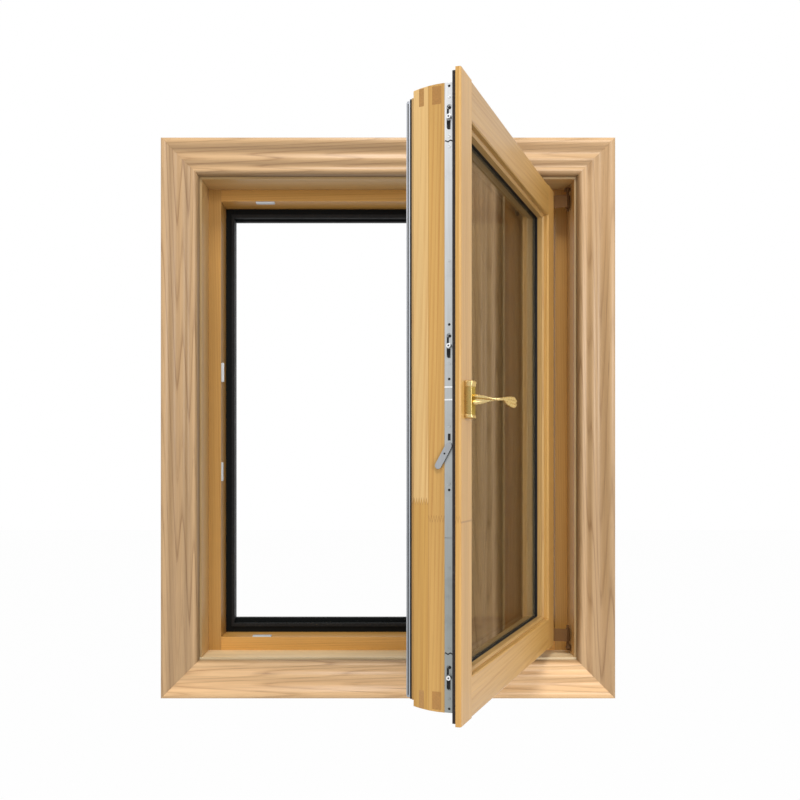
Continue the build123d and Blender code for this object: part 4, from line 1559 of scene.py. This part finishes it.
def build_timber(bench: Bench) -> None:
    """Build the casing, the liner, the frame, the sash and its beads."""
    in_frame, in_sash = (Run.UPRIGHT, Run.LEVEL), (Run.UPRIGHT_SASH, Run.ALONG_SASH)
    sash = board_runs("sash", "stile_lock stile_hinge rail_top rail_bottom", *in_sash)
    layers = dict.fromkeys(sash, BOARD_LAYERS) | {"sash_stile_lock": STILE_LAYERS}
    Casing(bench, ASH, CASING_PAINTED_LIGHTS, CASING_PAINTED_SHADES).build()
    # The brightness levels of single boards are painted light and shade: the sills, facing up, are lighter; the lock
    # jamb and top rail are darker.
    Boards(bench, LINER_ASH, Slot.LINER, Body.FRAME, board_runs("liner", "left right head", *in_frame),
           painted_lights={"liner_left": 1.05}).build()
    Boards(bench, PAINTED_LIT_SILL_ASH, Slot.LINER, Body.FRAME, {"liner_sill": Run.LEVEL}, painted_lights={"liner_sill": 1.48}).build()
    Boards(bench, FRAME_PINE, Slot.FRAME, Body.FRAME,
           board_runs("frame", "jamb_lock jamb_hinge head sill", *in_frame),
           painted_lights={"frame_jamb_lock": 0.80, "frame_jamb_hinge": 0.84, "frame_sill": 1.18}).build()
    Boards(bench, SASH_PINE, Slot.SASH, Body.SASH, sash, painted_lights={"sash_rail_top": 0.84}, layers=layers).build()
    Boards(bench, BEAD_PINE, Slot.BEAD, Body.SASH,
           board_runs("glazing_bead", "left right top bottom", *in_sash), easing=0.4).build()


def build_fittings(bench: Bench) -> None:
    """Build the cladding, the seals, the glazing and all the metal."""
    zinc, plate, bronze, brass, silver, dark, bore, bright, lit_brass, black, brown, glass, spacer, lit_striker = (
        finish.material() for finish in (ZINC, PLATE_ZINC, BRONZE, BRASS, SILVER, DARK, BORE_SHADE, BRIGHT_STEEL,
                                         LIT_BRASS, BLACK_RUBBER, BROWN_RUBBER, GLASS, SPACER, LIT_STRIKER_ZINC))
    stop = tuple(f"frame_cladding_{side}" for side in ("lock", "hinge", "head", "sill"))
    PlainNodes(bench, dark, Slot.DARK, Body.FRAME, 0.6, stop).build()
    OuterEdge(bench, silver, bore).build()
    for material, slot, body, easing, *nodes in (
        (black, Slot.BLACK_SEAL, Body.FRAME, 0.6, "frame_seal"),
        (black, Slot.BLACK_SEAL, Body.SASH, 0.2, "glazing_seal", "cladding_seal"),
        (brown, Slot.BROWN_SEAL, Body.SASH, 0.8, "flange_seal"),
        (spacer, Slot.SPACER, Body.SASH, 0.2, "pane_spacer"),
        (glass, Slot.GLASS, Body.SASH, 0.0, "pane_inner", "pane_middle", "pane_outer"),
        (lit_striker, Slot.STEEL, Body.FRAME, 0.6, "strikers"),
        (bronze, Slot.BRONZE, Body.FRAME, 0.3, "hinge_bearings"),
        (bronze, Slot.BRONZE, Body.PIVOTS, 0.3, "hinge_pivots"),
        (bronze, Slot.BRONZE, Body.SASH, 0.4, "hinge_leaves"),
        (plate, Slot.STEEL, Body.ROD, 0.3, "lock_rod"),
    ):
        PlainNodes(bench, material, slot, body, easing, tuple(nodes)).build()
    LiftLever(bench, zinc, bore).build()
    Handle(bench, brass, lit_brass).build()
    EdgeLock(bench, plate, bright, bore).build()


def main(frame: dict) -> None:
    """Build the window's looks round the loaded frame, sub-assembly by sub-assembly."""
    logging.basicConfig(level=logging.INFO, format="%(message)s")
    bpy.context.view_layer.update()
    bench = Bench(frame)
    Studio().build()
    build_timber(bench)
    build_fittings(bench)


if __name__ == "__main__":
    main(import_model())
